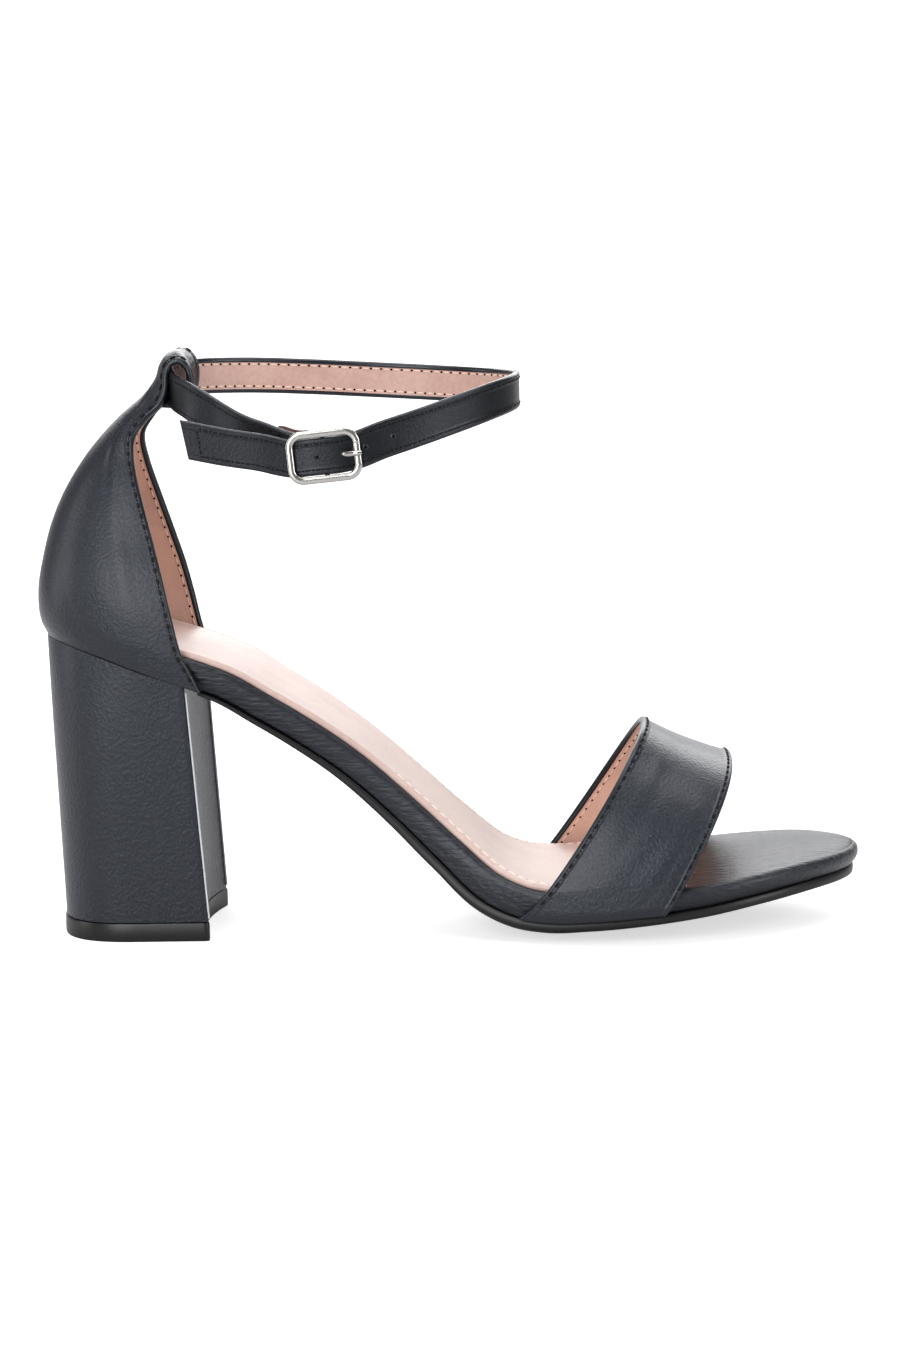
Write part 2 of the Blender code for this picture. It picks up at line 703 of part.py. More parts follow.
def make_buckle_frame(parts, helpers):
    length = BUCKLE_LENGTH - BUCKLE_BAR
    height = BUCKLE_HEIGHT - BUCKLE_BAR
    outline = rounded_rectangle(length, height, BUCKLE_CORNER - BUCKLE_BAR / 2, 5)
    points = [(x, -FRAME_DEPTH, z) for x, z in outline]
    frame = wire("buckle_frame", "steel", parts, points, BUCKLE_BAR / 2, closed=True)
    reach = STRAP_WIDTH / 2 + GAP + PIN_RADIUS
    bar_points = [(0, -FRAME_DEPTH, reach), (0, 0, reach), (0, 0, -reach), (0, -FRAME_DEPTH, -reach)]
    bar = cutter("middle_bar", helpers, wire("middle_bar", "steel", parts, bar_points, PIN_RADIUS))
    cut(frame, bar, "UNION")
    place_at_buckle(frame)
    place_at_buckle(bar)
    return frame


def make_buckle_prong(parts, helpers):
    ring = PIN_RADIUS * 2 + GAP
    eye_points = [
        (ring * math.cos(math.radians(turn)), ring * math.sin(math.radians(turn)), 0.0) for turn in range(0, 360, 30)
    ]
    prong_points = [
        (ring, -0.0002, 0.0),
        (0.0030, -0.0016, 0.0),
        (0.0045, -BAR_DEPTH + 0.0010, 0.0),
        (0.0062, -BAR_DEPTH - STRAP_THICK / 2 - 0.0004, 0.0),
        (BUCKLE_LENGTH / 2 - BUCKLE_BAR, -FRAME_DEPTH - BUCKLE_BAR / 2 - GAP - PIN_RADIUS * 0.8, 0.0),
        (BUCKLE_LENGTH / 2, -FRAME_DEPTH - BUCKLE_BAR / 2 - GAP - PIN_RADIUS, 0.0),
    ]
    prong = wire("buckle_prong", "steel", parts, prong_points, PIN_RADIUS)
    eye = cutter("prong_eye", helpers, wire("prong_eye", "steel", parts, eye_points, PIN_RADIUS * 0.9, closed=True))
    cut(prong, eye, "UNION")
    place_at_buckle(prong)
    place_at_buckle(eye)
    return prong


def new_collection(name):
    made = bpy.data.collections.new(name)
    bpy.context.scene.collection.children.link(made)
    return made


def main():
    for item in list(bpy.data.objects):
        bpy.data.objects.remove(item)
    parts = new_collection("block_heel_sandal")
    helpers = new_collection("cutters")
    make_footbed(parts)
    make_sock(parts)
    make_outsole(parts)
    make_heel_block(parts)
    make_top_lift(parts)
    make_heel_cup(parts)
    make_vamp_band(parts)
    make_ankle_strap(parts, helpers)
    make_buckle_frame(parts, helpers)
    make_buckle_prong(parts, helpers)


main()
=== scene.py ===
# %% [markdown]
# # A black block heel sandal
# The real shoe is a right sandal: a covered block heel, a thin sole, a nude sock, a closed heel cup
# with a tab at the top, one wide band over the toes and an ankle strap with a metal buckle.
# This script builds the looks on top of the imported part. All lengths are in metres.

import math

import bmesh
import bpy
import numpy as np
from mathutils import Matrix, Vector


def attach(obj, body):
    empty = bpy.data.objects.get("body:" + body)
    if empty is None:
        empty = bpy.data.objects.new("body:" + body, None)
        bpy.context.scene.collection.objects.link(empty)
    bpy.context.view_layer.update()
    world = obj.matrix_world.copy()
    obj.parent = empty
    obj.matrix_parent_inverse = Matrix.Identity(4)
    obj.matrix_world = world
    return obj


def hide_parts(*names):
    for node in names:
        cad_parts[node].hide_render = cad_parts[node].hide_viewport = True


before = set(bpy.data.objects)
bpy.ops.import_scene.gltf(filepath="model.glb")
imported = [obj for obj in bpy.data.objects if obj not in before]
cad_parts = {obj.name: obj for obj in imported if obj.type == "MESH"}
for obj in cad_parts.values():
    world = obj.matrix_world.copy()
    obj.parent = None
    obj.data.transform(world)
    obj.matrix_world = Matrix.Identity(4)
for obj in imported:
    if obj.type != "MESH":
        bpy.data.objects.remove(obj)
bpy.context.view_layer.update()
print("nodes:", sorted(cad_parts))

# %% [markdown]
# ## Sizes
# The solids were built from these few sizes. They could be read off the solids' boxes, but a box tells
# nothing of a curve. So the shapes below repeat the part's own rules at a finer step, and leather,
# lining and threads sit where the solids are. Each step has its own table, in shares of these sizes.

# %% Driving sizes
GAP = 0.0003
SOLE_LENGTH, SOLE_BACK, SEAT_RISE = 0.2263, -0.0238, 0.0775
HEEL_WIDTH, BALL_WIDTH, WALL = 0.0596, 0.0766, 0.0022
OUTSOLE_THICK, TREAD_CROWN, TREAD_LIFT = 0.0030, 0.0046, 0.0036
RIM_THICK, RIM_ROUND = 0.0074, 0.0020
SOCK_THICK, SOCK_MARGIN, SOCK_LENGTH = 0.0015, 0.0016, 0.176
HEEL_BLOCK_LENGTH, HEEL_BLOCK_FOOT = 0.0405, 0.0422
HEEL_BLOCK_WIDTH, HEEL_BLOCK_FOOT_WIDTH = 0.0566, 0.0494
HEEL_OVERHANG, HEEL_BACK_LEAN, BREAST_HOLLOW = 0.0021, 0.0026, 0.0036
LIFT_THICK = 0.0050
CUP_LENGTH, CUP_HEIGHT = 0.0470, 0.0660
TAB_WIDTH, TAB_WALL, TAB_DEPTH, TAB_TILT = 0.0164, 0.0016, 0.0101, 0.0022
BAND_RISE_BACK, BAND_RISE_FRONT, BAND_WALL = 0.0500, 0.0350, 0.0018
BAND_BACK_FOOT, BAND_BACK_TOP = 0.1310, 0.1662
BAND_FRONT_FOOT, BAND_FRONT_TOP, BAND_SKEW = 0.1712, 0.1908, 0.0110
STRAP_WIDTH, STRAP_THICK = 0.0100, 0.0018
LOOP_LENGTH, LOOP_WIDTH, LOOP_BACK = 0.0950, 0.0640, 0.0144
STRAP_HEIGHT, STRAP_DROP, TIP_LENGTH, TIP_SLANT = 0.1524, 0.0196, 0.0350, 0.0042
BUCKLE_LENGTH, BUCKLE_HEIGHT, BUCKLE_BAR, BUCKLE_CORNER = 0.0200, 0.0144, 0.0019, 0.0042
PIN_RADIUS = 0.0007
BUCKLE_SLOPE = math.radians(5.2)

print("sole length:", SOLE_LENGTH, "strap height:", STRAP_HEIGHT)

# %% [markdown]
# ## Curves through a few numbers
# Leather runs in smooth lines, so a table of a few stations is enough for each piece. They could be
# Bezier curves in Blender. Arrays of numbers are used, because any rule can then bend or shift them.

# %% Numbers and curves
def smooth(at, stations, values):
    """A smooth curve through a table's values, read at many places."""
    slopes = np.gradient(values, stations)
    at = np.clip(at, stations[0], stations[-1])
    row = np.clip(np.searchsorted(stations, at) - 1, 0, len(stations) - 2)
    span = stations[row + 1] - stations[row]
    t = (at - stations[row]) / span
    start = (2 * t**3 - 3 * t**2 + 1) * values[row] + (t**3 - 2 * t**2 + t) * span * slopes[row]
    end = (3 * t**2 - 2 * t**3) * values[row + 1] + (t**3 - t**2) * span * slopes[row + 1]
    return start + end


def mix(a, b, share):
    return a + (b - a) * share


def step_up(value, start, end):
    """0 before start, 1 after end, smooth between."""
    t = np.clip((value - start) / (end - start), 0, 1)
    return t * t * (3 - 2 * t)


def unit(vectors):
    return vectors / np.maximum(np.linalg.norm(vectors, axis=-1, keepdims=True), 1e-12)


def lengths_along(line):
    return np.concatenate([[0.0], np.cumsum(np.linalg.norm(np.diff(line, axis=0), axis=1))])


def read_line(line, lengths, at):
    return np.stack([np.interp(at, lengths, line[:, k]) for k in range(3)], axis=-1)


def crowd(count, share):
    """Shares from 0 to 1 that crowd towards both ends. share: how much."""
    t = np.linspace(0, 1, count)
    return (1 - share) * t + share * (1 - np.cos(np.pi * t)) / 2


def even_loop(loop, count):
    """A closed flat outline again, as evenly spaced points."""
    closed = np.concatenate([loop, loop[:1]])
    lengths = lengths_along(closed)
    at = np.linspace(0, lengths[-1], count + 1)[:-1]
    return np.stack([np.interp(at, lengths, closed[:, k]) for k in range(2)], -1)


print("half way up a soft step:", step_up(0.5, 0, 1))

# %% [markdown]
# ## Skins
# Every piece here is a skin: quads through rings of points, closed at both ends. A curve with a bevel
# or a solidified sheet would do for plain pieces, but rings give each millimetre of an edge its own
# place and its own finish.

# %% Meshes
def put_object(name, data):
    item = bpy.data.objects.new(name, data)
    bpy.context.scene.collection.objects.link(item)
    return item


def add_mesh(name, verts, faces, finishes, tags):
    mesh = bpy.data.meshes.new(name)
    mesh.from_pydata([tuple(v) for v in verts], [], faces)
    for made_of in finishes:
        mesh.materials.append(made_of)
    mesh.polygons.foreach_set("material_index", np.asarray(tags, np.int32))
    bm = bmesh.new()
    bm.from_mesh(mesh)
    bmesh.ops.remove_doubles(bm, verts=bm.verts, dist=1e-6)
    bmesh.ops.recalc_face_normals(bm, faces=bm.faces)
    bm.to_mesh(mesh)
    bm.free()
    mesh.shade_smooth()
    item = put_object(name, mesh)
    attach(item, "root")
    return item


def skin(name, rings, finishes, tags=None, sharp=None):
    """Quads through rings of points, with a cap at each end. tags: the finish at each place of a ring."""
    stations, around = rings.shape[:2]
    tags = np.zeros(around, int) if tags is None else tags
    i, j = np.meshgrid(np.arange(stations - 1), np.arange(around), indexing="ij")
    k = (j + 1) % around
    corners = ((i, j), (i + 1, j), (i + 1, k), (i, k))
    quads = np.stack([row * around + place for row, place in corners], -1).reshape(-1, 4)
    last = (stations - 1) * around
    faces = quads.tolist() + [list(range(around)), list(range(last, last + around))]
    all_tags = np.concatenate([tags[j].ravel(), [tags[0], tags[0]]])
    item = add_mesh(name, rings.reshape(-1, 3), faces, finishes, all_tags)
    if sharp:
        item.data.set_sharp_from_angle(angle=math.radians(sharp))
    return item


def size_of(item):
    return [round(v, 4) for v in item.dimensions]


# %% [markdown]
# ## Shaders
# A shader is a small tree of nodes. It is often wired by hand in the editor, but a script repeats it.
# These helpers add one node with its settings and links, so each finish below reads as one short recipe.
# Textures use object coordinates, so grain has a real size.

# %% Shader helpers
def linear(hex_code):
    """An sRGB hex colour in linear light."""
    parts = [int(hex_code[i:i + 2], 16) / 255 for i in (1, 3, 5)]
    return tuple(c / 12.92 if c <= 0.04045 else ((c + 0.055) / 1.055) ** 2.4 for c in parts) + (1.0,)


def node(tree, kind, links=None, **settings):
    """Adds a node. links: input name to a socket or a plain value."""
    made = tree.nodes.new(kind)
    for key, value in settings.items():
        setattr(made, key, value)
    for name, source in (links or {}).items():
        socket = made.inputs[name]
        if isinstance(source, bpy.types.NodeSocket):
            tree.links.new(source, socket)
        else:
            socket.default_value = source
    return made


def finish(name, hex_code, rough, **extra):
    """A material with its constants on the Principled node. Returns it, its tree and that node."""
    made = bpy.data.materials.new(name)
    made.use_nodes = True
    tree = made.node_tree
    surface = tree.nodes["Principled BSDF"]
    surface.inputs["Base Color"].default_value = linear(hex_code)
    surface.inputs["Roughness"].default_value = rough
    for key, value in extra.items():
        surface.inputs[key.replace("_", " ").title().replace("Ior", "IOR")].default_value = value
    return made, tree, surface


def place_texture(tree, scale, stretch=(1, 1, 1)):
    where = node(tree, "ShaderNodeTexCoord").outputs["Object"]
    sizes = tuple(scale * s for s in stretch)
    return node(tree, "ShaderNodeMapping", {"Vector": where, "Scale": sizes}).outputs["Vector"]


def noise(tree, where, scale, detail, rough=0.5):
    settings = {"Vector": where, "Scale": scale, "Detail": detail, "Roughness": rough}
    return node(tree, "ShaderNodeTexNoise", settings).outputs["Fac"]


def sums(tree, kind, a, b):
    return node(tree, "ShaderNodeMath", {0: a, 1: b}, operation=kind).outputs[0]


def two_colours(tree, factor, low, high):
    made = node(tree, "ShaderNodeValToRGB", {"Fac": factor})
    for element, place, colour in zip(made.color_ramp.elements, (0.36, 0.62), (low, high)):
        element.position = place
        element.color = linear(colour)
    return made.outputs["Color"]


def bump(tree, surface, height, strength, distance):
    made = node(tree, "ShaderNodeBump", {"Height": height, "Strength": strength, "Distance": distance})
    tree.links.new(made.outputs["Normal"], surface.inputs["Normal"])


print("middle grey in linear light:", round(linear("#808080")[0], 3))

# %% [markdown]
# ## Finishes
# The upper is black smooth imitation leather: a fine pebble grain under a satin coat. Its grain could be
# a photo used as a texture, but a cell pattern with a finer noise over it needs no picture and has a
# real size. Heel, footbed and upper are one hide pulled in different ways, so each stretches the grain.

# %% Black leathers
def black_leather(name, hex_code, rough, grain, stretch=(1, 1, 1), strength=0.3, depth=0.00016, coat=0.12):
    made, tree, surface = finish(name, hex_code, rough, coat_weight=coat, coat_roughness=0.24)
    surface.inputs["Specular Tint"].default_value = linear("#e0e6f2")
    fine = place_texture(tree, grain, stretch)
    cell_settings = {"Vector": fine, "Scale": 1.0, "Smoothness": 0.6}
    cells = node(tree, "ShaderNodeTexVoronoi", cell_settings, feature="SMOOTH_F1").outputs["Distance"]
    pores = noise(tree, fine, 2.2, 3.0, 0.6)
    bump(tree, surface, sums(tree, "ADD", cells, pores), strength, depth)
    slow = noise(tree, place_texture(tree, 60.0, stretch), 1.0, 3.0)
    spread = {"Value": slow, "To Min": rough - 0.06, "To Max": rough + 0.07}
    rough_map = node(tree, "ShaderNodeMapRange", spread)
    tree.links.new(rough_map.outputs["Result"], surface.inputs["Roughness"])
    return made


PRESSED_GRAIN = 0.00019
upper_leather = black_leather(
    "black_imitation_leather_upper", "#090c15", 0.30, 1300, strength=0.7, depth=PRESSED_GRAIN, coat=0.16
)
edge_leather = black_leather("black_leather_turned_edge", "#07090e", 0.28, 1700)
cover_leather = black_leather(
    "black_leather_footbed_cover", "#0b0c11", 0.34, 950, (0.20, 1.0, 1.0), 0.9, depth=0.00030
)
heel_leather = black_leather(
    "black_leather_heel_cover", "#0b0e16", 0.34, 1300, (1, 1, 0.8), 0.75, PRESSED_GRAIN
)
strap_leather = black_leather("black_leather_strap", "#060709", 0.34, 1600, coat=0.04)
strap_leather.node_tree.nodes["Principled BSDF"].inputs["Specular IOR Level"].default_value = 0.36
print("finishes so far:", len(bpy.data.materials))

# %% [markdown]
# The linings are nude: smooth and shiny on the sock, matt and a little furry inside the cup and band,
# satin along the strap. The fur could be hair strands, but at this size a sheen and a fine bump show
# the same. Two close tones mixed by noise keep the linings from looking like paint.

# %% Nude linings
def nude(name, hex_low, hex_high, rough, grain, strength, sheen=0.0, coat=0.0):
    layers = {"sheen_weight": sheen, "coat_weight": coat, "coat_roughness": 0.22}
    made, tree, surface = finish(name, hex_high, rough, **layers)
    fuzz = noise(tree, place_texture(tree, grain), 1.0, 4.0, 0.65)
    slow = noise(tree, place_texture(tree, 90.0), 1.0, 2.0)
    half = sums(tree, "MULTIPLY", sums(tree, "ADD", fuzz, slow), 0.5)
    tree.links.new(two_colours(tree, half, hex_low, hex_high), surface.inputs["Base Color"])
    bump(tree, surface, fuzz, strength, 0.00015)
    return made


sock_nude = nude("nude_sock_coated", "#b0978f", "#bfa69d", 0.40, 700, 0.08, coat=0.2)
lining_suede = nude("nude_lining_napped", "#c49c8a", "#deb3a0", 0.85, 2600, 0.5, sheen=0.25)
strap_lining = nude("nude_strap_lining", "#ad8a7e", "#be9c91", 0.50, 900, 0.25)
raw_edge = nude("cut_edge_of_lining", "#37201c", "#4c2d27", 0.8, 2500, 0.4)
print("finishes so far:", len(bpy.data.materials))

# %% [markdown]
# The sole and the heel's tread are rubber, the buckle is polished plated metal and the threads are waxed.
# Metal shows what is around it, so it needs bright lights more than texture. A needle hole could be cut
# out of the mesh. It is half a millimetre wide, so a flat bead coloured as painted shade looks the same.

# %% Rubber, metal and thread
def rubber(name, hex_code, rough, shine, grain, strength):
    made, tree, surface = finish(name, hex_code, rough, specular_ior_level=shine)
    bump(tree, surface, noise(tree, place_texture(tree, grain), 1.0, 3.0), strength, 0.0001)
    return made


outsole_rubber = rubber("black_outsole_sheet", "#0a0a0c", 0.40, 0.35, 900, 0.12)
lift_rubber = rubber("black_rubber_top_lift", "#070709", 0.36, 0.4, 1200, 0.2)
buckle_metal = finish("polished_nickel_plate", "#b4b2ae", 0.17, metallic=1.0)[0]
black_thread = finish("black_waxed_thread", "#060608", 0.60, specular_ior_level=0.2)[0]
nude_thread = finish("nude_thread", "#f0d8cb", 0.6)[0]
lining_thread = finish("rose_lining_thread", "#e0c0b1", 0.6)[0]
# dark beads for needle and punched holes: painted shade of the hole's inside
painted_hole_shade = finish("needle_hole_shadow", "#0a0706", 0.9, specular_ior_level=0.1)[0]
print("finishes:", len(bpy.data.materials))

# %% [markdown]
# ## The sole's line
# All layers under the foot share one curve and one outline, as they do on the wooden last of the maker.
# Each layer could be drawn for itself, but then gaps would open between them. So one rule places a point
# by its share along the sole, its share across and its level above the board.

# %% Sole table
# along, rise, rim, heel, outer, inner, crown, dome
SOLE_TABLE = np.array((
    (0.00, 1.000, 1.00, 1.00, 0.000, 0.000, 0.0, -0.10),
    (0.06, 0.948, 1.00, 1.00, 0.000, 0.000, 0.0, -0.14),
    (0.13, 0.875, 1.00, 1.00, 0.000, 0.000, 0.0, -0.14),
    (0.19, 0.815, 1.03, 0.98, 0.010, 0.000, 0.0, -0.12),
    (0.22, 0.780, 1.02, 0.90, 0.060, 0.030, 0.0, -0.10),
    (0.26, 0.712, 1.00, 0.75, 0.150, 0.100, 0.0, -0.08),
    (0.30, 0.643, 0.98, 0.60, 0.240, 0.175, 0.0, -0.05),
    (0.37, 0.502, 0.95, 0.35, 0.395, 0.290, 0.1, 0.00),
    (0.43, 0.347, 0.97, 0.20, 0.525, 0.390, 0.2, 0.00),
    (0.48, 0.204, 1.04, 0.10, 0.650, 0.490, 0.4, 0.00),
    (0.53, 0.071, 1.13, 0.04, 0.790, 0.610, 0.7, 0.00),
    (0.57, 0.017, 1.14, 0.00, 0.890, 0.710, 0.9, 0.00),
    (0.61, 0.000, 1.08, 0.00, 0.950, 0.800, 1.0, 0.00),
    (0.66, 0.005, 0.99, 0.00, 1.000, 0.890, 1.0, 0.04),
    (0.73, 0.023, 0.91, 0.00, 1.030, 0.980, 1.0, 0.12),
    (0.80, 0.046, 0.82, 0.00, 1.020, 1.010, 0.8, 0.18),
    (0.87, 0.076, 0.76, 0.00, 1.010, 1.010, 0.5, 0.20),
    (0.94, 0.099, 0.74, 0.00, 1.000, 1.010, 0.3, 0.20),
    (1.00, 0.104, 0.70, 0.00, 1.000, 1.010, 0.1, 0.20),
))
SOLE_COLUMNS = ("along", "rise", "rim", "heel", "outer", "inner", "crown", "dome")
HEEL_TURN, HEEL_SQUARE = 0.19, 2.7
OUTER_TOE_TURN, OUTER_TOE_SQUARE = 0.745, 1.85
INNER_TOE_TURN, INNER_TOE_SQUARE = 0.770, 2.0
TOE_TIP_SHIFT = 0.0070
print("sole stations:", len(SOLE_TABLE))

# %% Sole rules
SOLE = {name: SOLE_TABLE[:, i] for i, name in enumerate(SOLE_COLUMNS)}
BOARD_BACK = SOLE_BACK + WALL + GAP
BOARD_LENGTH = SOLE_LENGTH - WALL - GAP
HALF_HEEL = HEEL_WIDTH / 2 - WALL - GAP
HALF_BALL = BALL_WIDTH / 2
BOARD_BASE = TREAD_LIFT + OUTSOLE_THICK - GAP


def sole(name, along):
    return smooth(along, SOLE["along"], SOLE[name])


def along_of(x):
    return (x - BOARD_BACK) / BOARD_LENGTH


def seat_z(x):
    return BOARD_BASE + SEAT_RISE * sole("rise", along_of(x))


def superellipse(share, square):
    return (1 - np.clip(share, 0, 1) ** square) ** (1 / square)


def half_width(along, side):
    outer = side < 0
    ball = np.where(outer, sole("outer", along), sole("inner", along))
    wide = HALF_HEEL * sole("heel", along) + HALF_BALL * ball
    turn = np.where(outer, OUTER_TOE_TURN, INNER_TOE_TURN)
    square = np.where(outer, OUTER_TOE_SQUARE, INNER_TOE_SQUARE)
    tip = np.sign(side) * TOE_TIP_SHIFT
    toe = tip + (wide - tip) * superellipse((along - turn) / (1 - turn), square)
    heel = wide * superellipse((HEEL_TURN - along) / HEEL_TURN, HEEL_SQUARE)
    return np.where(along > turn, toe, np.where(along < HEEL_TURN, heel, wide))


def both_halves(along):
    return [half_width(along, side * np.ones_like(along)) for side in (1, -1)]


def stack_point(along, across, level, inset=0.0):
    """A point of the sole. level: height above the board, inset: distance in from the rim."""
    along, across, level, inset = np.broadcast_arrays(
        *(np.asarray(v, float) for v in (along, across, level, inset))
    )
    inner, outer = both_halves(along)
    side = (inner - outer) / 2 + across * (inner + outer) / 2 * (1 - inset / HALF_HEEL)
    x = BOARD_BACK + inset + along * (BOARD_LENGTH - 2 * inset)
    slope = (seat_z(x + 0.001) - seat_z(x - 0.001)) / 0.002
    lean = slope * np.clip((along - 0.06) / 0.16, 0, 1)
    size = np.hypot(1, lean)
    return np.stack([x - level * lean / size, side, seat_z(x) + level / size], -1)


def edge_share(along, across):
    """0 on the middle line, 1 at the rim."""
    wide = sum(both_halves(along))
    return 1 - (1 - abs(across)) * np.minimum(wide / HALF_HEEL, 1)


def dome(along, across):
    return RIM_THICK * sole("dome", along) * (1 - edge_share(along, across) ** 2)


def crown(along, across):
    return TREAD_CROWN * sole("crown", along) * (1 - edge_share(along, across) ** 2)


def side_tuck(along, up):
    return RIM_ROUND * (1 + 0.4 * sole("heel", along)) * (1 - up) ** 2 + RIM_ROUND * 0.3 * up**3


print("seat height at the heel:", round(float(seat_z(0.0)), 4))

# %% [markdown]
# ## Footbed
# An insole board with padding, its edge wrapped in black. The wrap shows as a soft rim beside the sock
# and as the whole platform in front of the band. Each ring runs over the top, round one edge, under
# and back, so the roll at the rim is a real curve.

# %% Footbed
ROLL = 0.0019


def footbed_rings(alongs):
    a = alongs[:, None]
    rim = sole("rim", a) * RIM_THICK

    def roll(sign, turns):
        inset = side_tuck(a, 0.8) + ROLL * 0.8 * (1 - np.cos(turns))
        return stack_point(a, sign, rim - ROLL + ROLL * np.sin(turns), inset)

    def side(sign, ups):
        return stack_point(a, sign, (rim - ROLL) * ups, side_tuck(a, ups * 0.8))

    across = np.sin(np.linspace(-1, 1, 61) * np.pi / 2)[None, 1:-1]
    top = stack_point(a, across, rim + dome(a, across), side_tuck(a, 0.8) + ROLL * 0.8)
    under = np.linspace(1, -1, 15)[None, 1:-1]
    base = stack_point(a, under, -0.6 * crown(a, under), side_tuck(a, 0.0))
    turns = np.linspace(0, np.pi / 2, 9)[None, :]
    ups = np.linspace(0, 1, 12)[None, :-1]
    near = [side(-1.0, ups), roll(-1.0, turns)]
    return np.concatenate([top, roll(1.0, turns[:, ::-1]), side(1.0, ups[:, ::-1]), base] + near, axis=1)


footbed = skin("footbed_cover", footbed_rings(crowd(241, 0.75)), [cover_leather])
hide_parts("footbed")
print("footbed:", size_of(footbed))

# %% [markdown]
# ## Sock
# A thin coated nude sheet glued on the footbed. It stops under the band, and its rim lies a little inside
# the wrap, so a black line shows beside it. It could be a second colour on the footbed, but a sheet with
# its own round edge catches the light as the real one does.

# %% Sock
sock_front = SOCK_LENGTH / BOARD_LENGTH
SOCK_EDGE = 0.0007
SOCK_SINK = 0.0004


def sock_rings(alongs):
    a = (alongs * sock_front)[:, None]
    rim = sole("rim", a) * RIM_THICK + GAP
    margin = 1 - SOCK_MARGIN / HALF_HEEL

    def edge(sign, turns):
        level = rim - SOCK_SINK + (SOCK_THICK + SOCK_SINK) / 2 * (1 + np.sin(turns))
        return stack_point(a, sign, level, SOCK_MARGIN + SOCK_EDGE * (1 - np.cos(turns)))

    def face(across, thick):
        level = rim + dome(a, across * margin) + thick
        return stack_point(a, across, level, SOCK_MARGIN + SOCK_EDGE)

    top = face(np.sin(np.linspace(-1, 1, 61) * np.pi / 2)[None, 1:-1], SOCK_THICK)
    base = face(np.linspace(1, -1, 13)[None, 1:-1], 0.0)
    turns = np.linspace(np.pi / 2, -np.pi / 2, 9)[None, :]
    return np.concatenate([top, edge(1.0, turns), base, edge(-1.0, turns[:, ::-1])], axis=1)


sock = skin("sock_cover", sock_rings(crowd(201, 0.6)), [sock_nude])
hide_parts("sock")
print("sock:", size_of(sock))

# %% [markdown]
# ## Outsole
# A thin black sheet from the heel's breast to the toe, set in a little from the wrapped edge. A copy of
# the footbed pushed down would be too wide, so the sheet has its own rings, inset on all sides, with
# round edges. It thins towards the heel, as it does on the shoe.

# %% Outsole
HEEL_BACK = SOLE_BACK + HEEL_OVERHANG
HEEL_FRONT = HEEL_BACK + HEEL_BLOCK_LENGTH
FOOT_BACK = HEEL_BACK + HEEL_BACK_LEAN
FOOT_FRONT = FOOT_BACK + HEEL_BLOCK_FOOT
OUTSOLE_INSET = 0.5 * RIM_ROUND + 0.0008


def outsole_rings(shares):
    start = along_of(HEEL_FRONT + HEEL_OVERHANG)
    a = mix(start, 1.0, shares)[:, None]
    thin = OUTSOLE_THICK * np.minimum(1.0, 0.45 + 1.6 * shares)[:, None]

    def put(across, up, more):
        upper = -GAP - 0.6 * crown(a, across)
        lower = -thin - crown(a, across)
        return stack_point(a, across, mix(lower, upper, up), OUTSOLE_INSET + more)

    flat = np.linspace(-1, 1, 31)[None, 1:-1]
    turns = np.linspace(0, np.pi, 9)[None, :]
    bulge = 0.0005 * (1 - np.sin(turns))
    half = 0.5 * np.cos(turns)
    upper_rows = [put(flat, 1.0, 0.0005), put(1.0, 0.5 + half, bulge)]
    lower_rows = [put(flat[:, ::-1], 0.0, 0.0007), put(-1.0, 0.5 - half, bulge)]
    rings = np.concatenate(upper_rows + lower_rows, axis=1)
    rings[..., 2] = np.maximum(rings[..., 2], 0.0)
    return rings


outsole = skin("outsole_sheet", outsole_rings(crowd(181, 0.6)), [outsole_rubber])
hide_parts("outsole")
print("outsole:", size_of(outsole))

# %% [markdown]
# ## Heel
# A block wrapped in the upper's hide, straight at the sides, with a hollow breast. Its top follows the
# foot of the cup, so the seam between them is tight. A bevel modifier would round all its edges. Here
# each outline is averaged with its neighbours, which rounds only the two sharp corners.

# %% Heel outline
HEEL_ROUND, HEEL_BACK_SQUARE = 0.52, 2.5
CUP_FOOT_REACH, CUP_FOOT_SQUARE = 0.90, 2.7
HEEL_CORNER = 0.0011
OUTLINE_POINTS = 360
LIFT_PROFILE = ((0.0, 0.010), (0.08, 0.016), (0.5, 0.017), (0.92, 0.016), (1.0, 0.010))


def heel_plan(along, across, up):
    side = 2 * across - 1
    back = mix(FOOT_BACK, HEEL_BACK, up)
    front = mix(FOOT_FRONT, HEEL_FRONT, up) - BREAST_HOLLOW * (1 - side**2)
    rounded = superellipse((HEEL_ROUND - along) / HEEL_ROUND, HEEL_BACK_SQUARE)
    block = np.where(along < HEEL_ROUND, rounded, 1.0)
    cup_foot = superellipse(1 - CUP_FOOT_REACH * along, CUP_FOOT_SQUARE)
    half = mix(HEEL_BLOCK_FOOT_WIDTH, HEEL_BLOCK_WIDTH, up) / 2
    half = half * mix(block, np.minimum(cup_foot * 1.02, block), up**5)
    return mix(back, front, along), side * half


def soften_corners(loop):
    fine = even_loop(loop, OUTLINE_POINTS)
    spacing = lengths_along(np.concatenate([loop, loop[:1]]))[-1] / OUTLINE_POINTS
    reach = max(1, int(round(HEEL_CORNER / spacing)))
    return sum(np.roll(fine, step, axis=0) for step in range(-reach, reach + 1)) / (2 * reach + 1)


def heel_outline(up):
    """The outline at one height, from the breast's one corner round the back to the other."""
    rounded = HEEL_ROUND * (1 - np.sin(np.linspace(0, np.pi / 2, 50)))[1:]
    alongs = np.concatenate([np.linspace(1.0, HEEL_ROUND, 24), rounded])
    across = np.linspace(0, 1, 41)[1:-1]
    inner = np.stack(heel_plan(alongs, np.ones_like(alongs), up), -1)
    outer = np.stack(heel_plan(alongs[::-1], np.zeros_like(alongs), up), -1)[1:]
    breast = np.stack(heel_plan(np.ones_like(across), across, up), -1)
    return soften_corners(soften_corners(np.concatenate([inner, outer, breast])))


print("heel outline:", len(heel_outline(0.0)), "points")

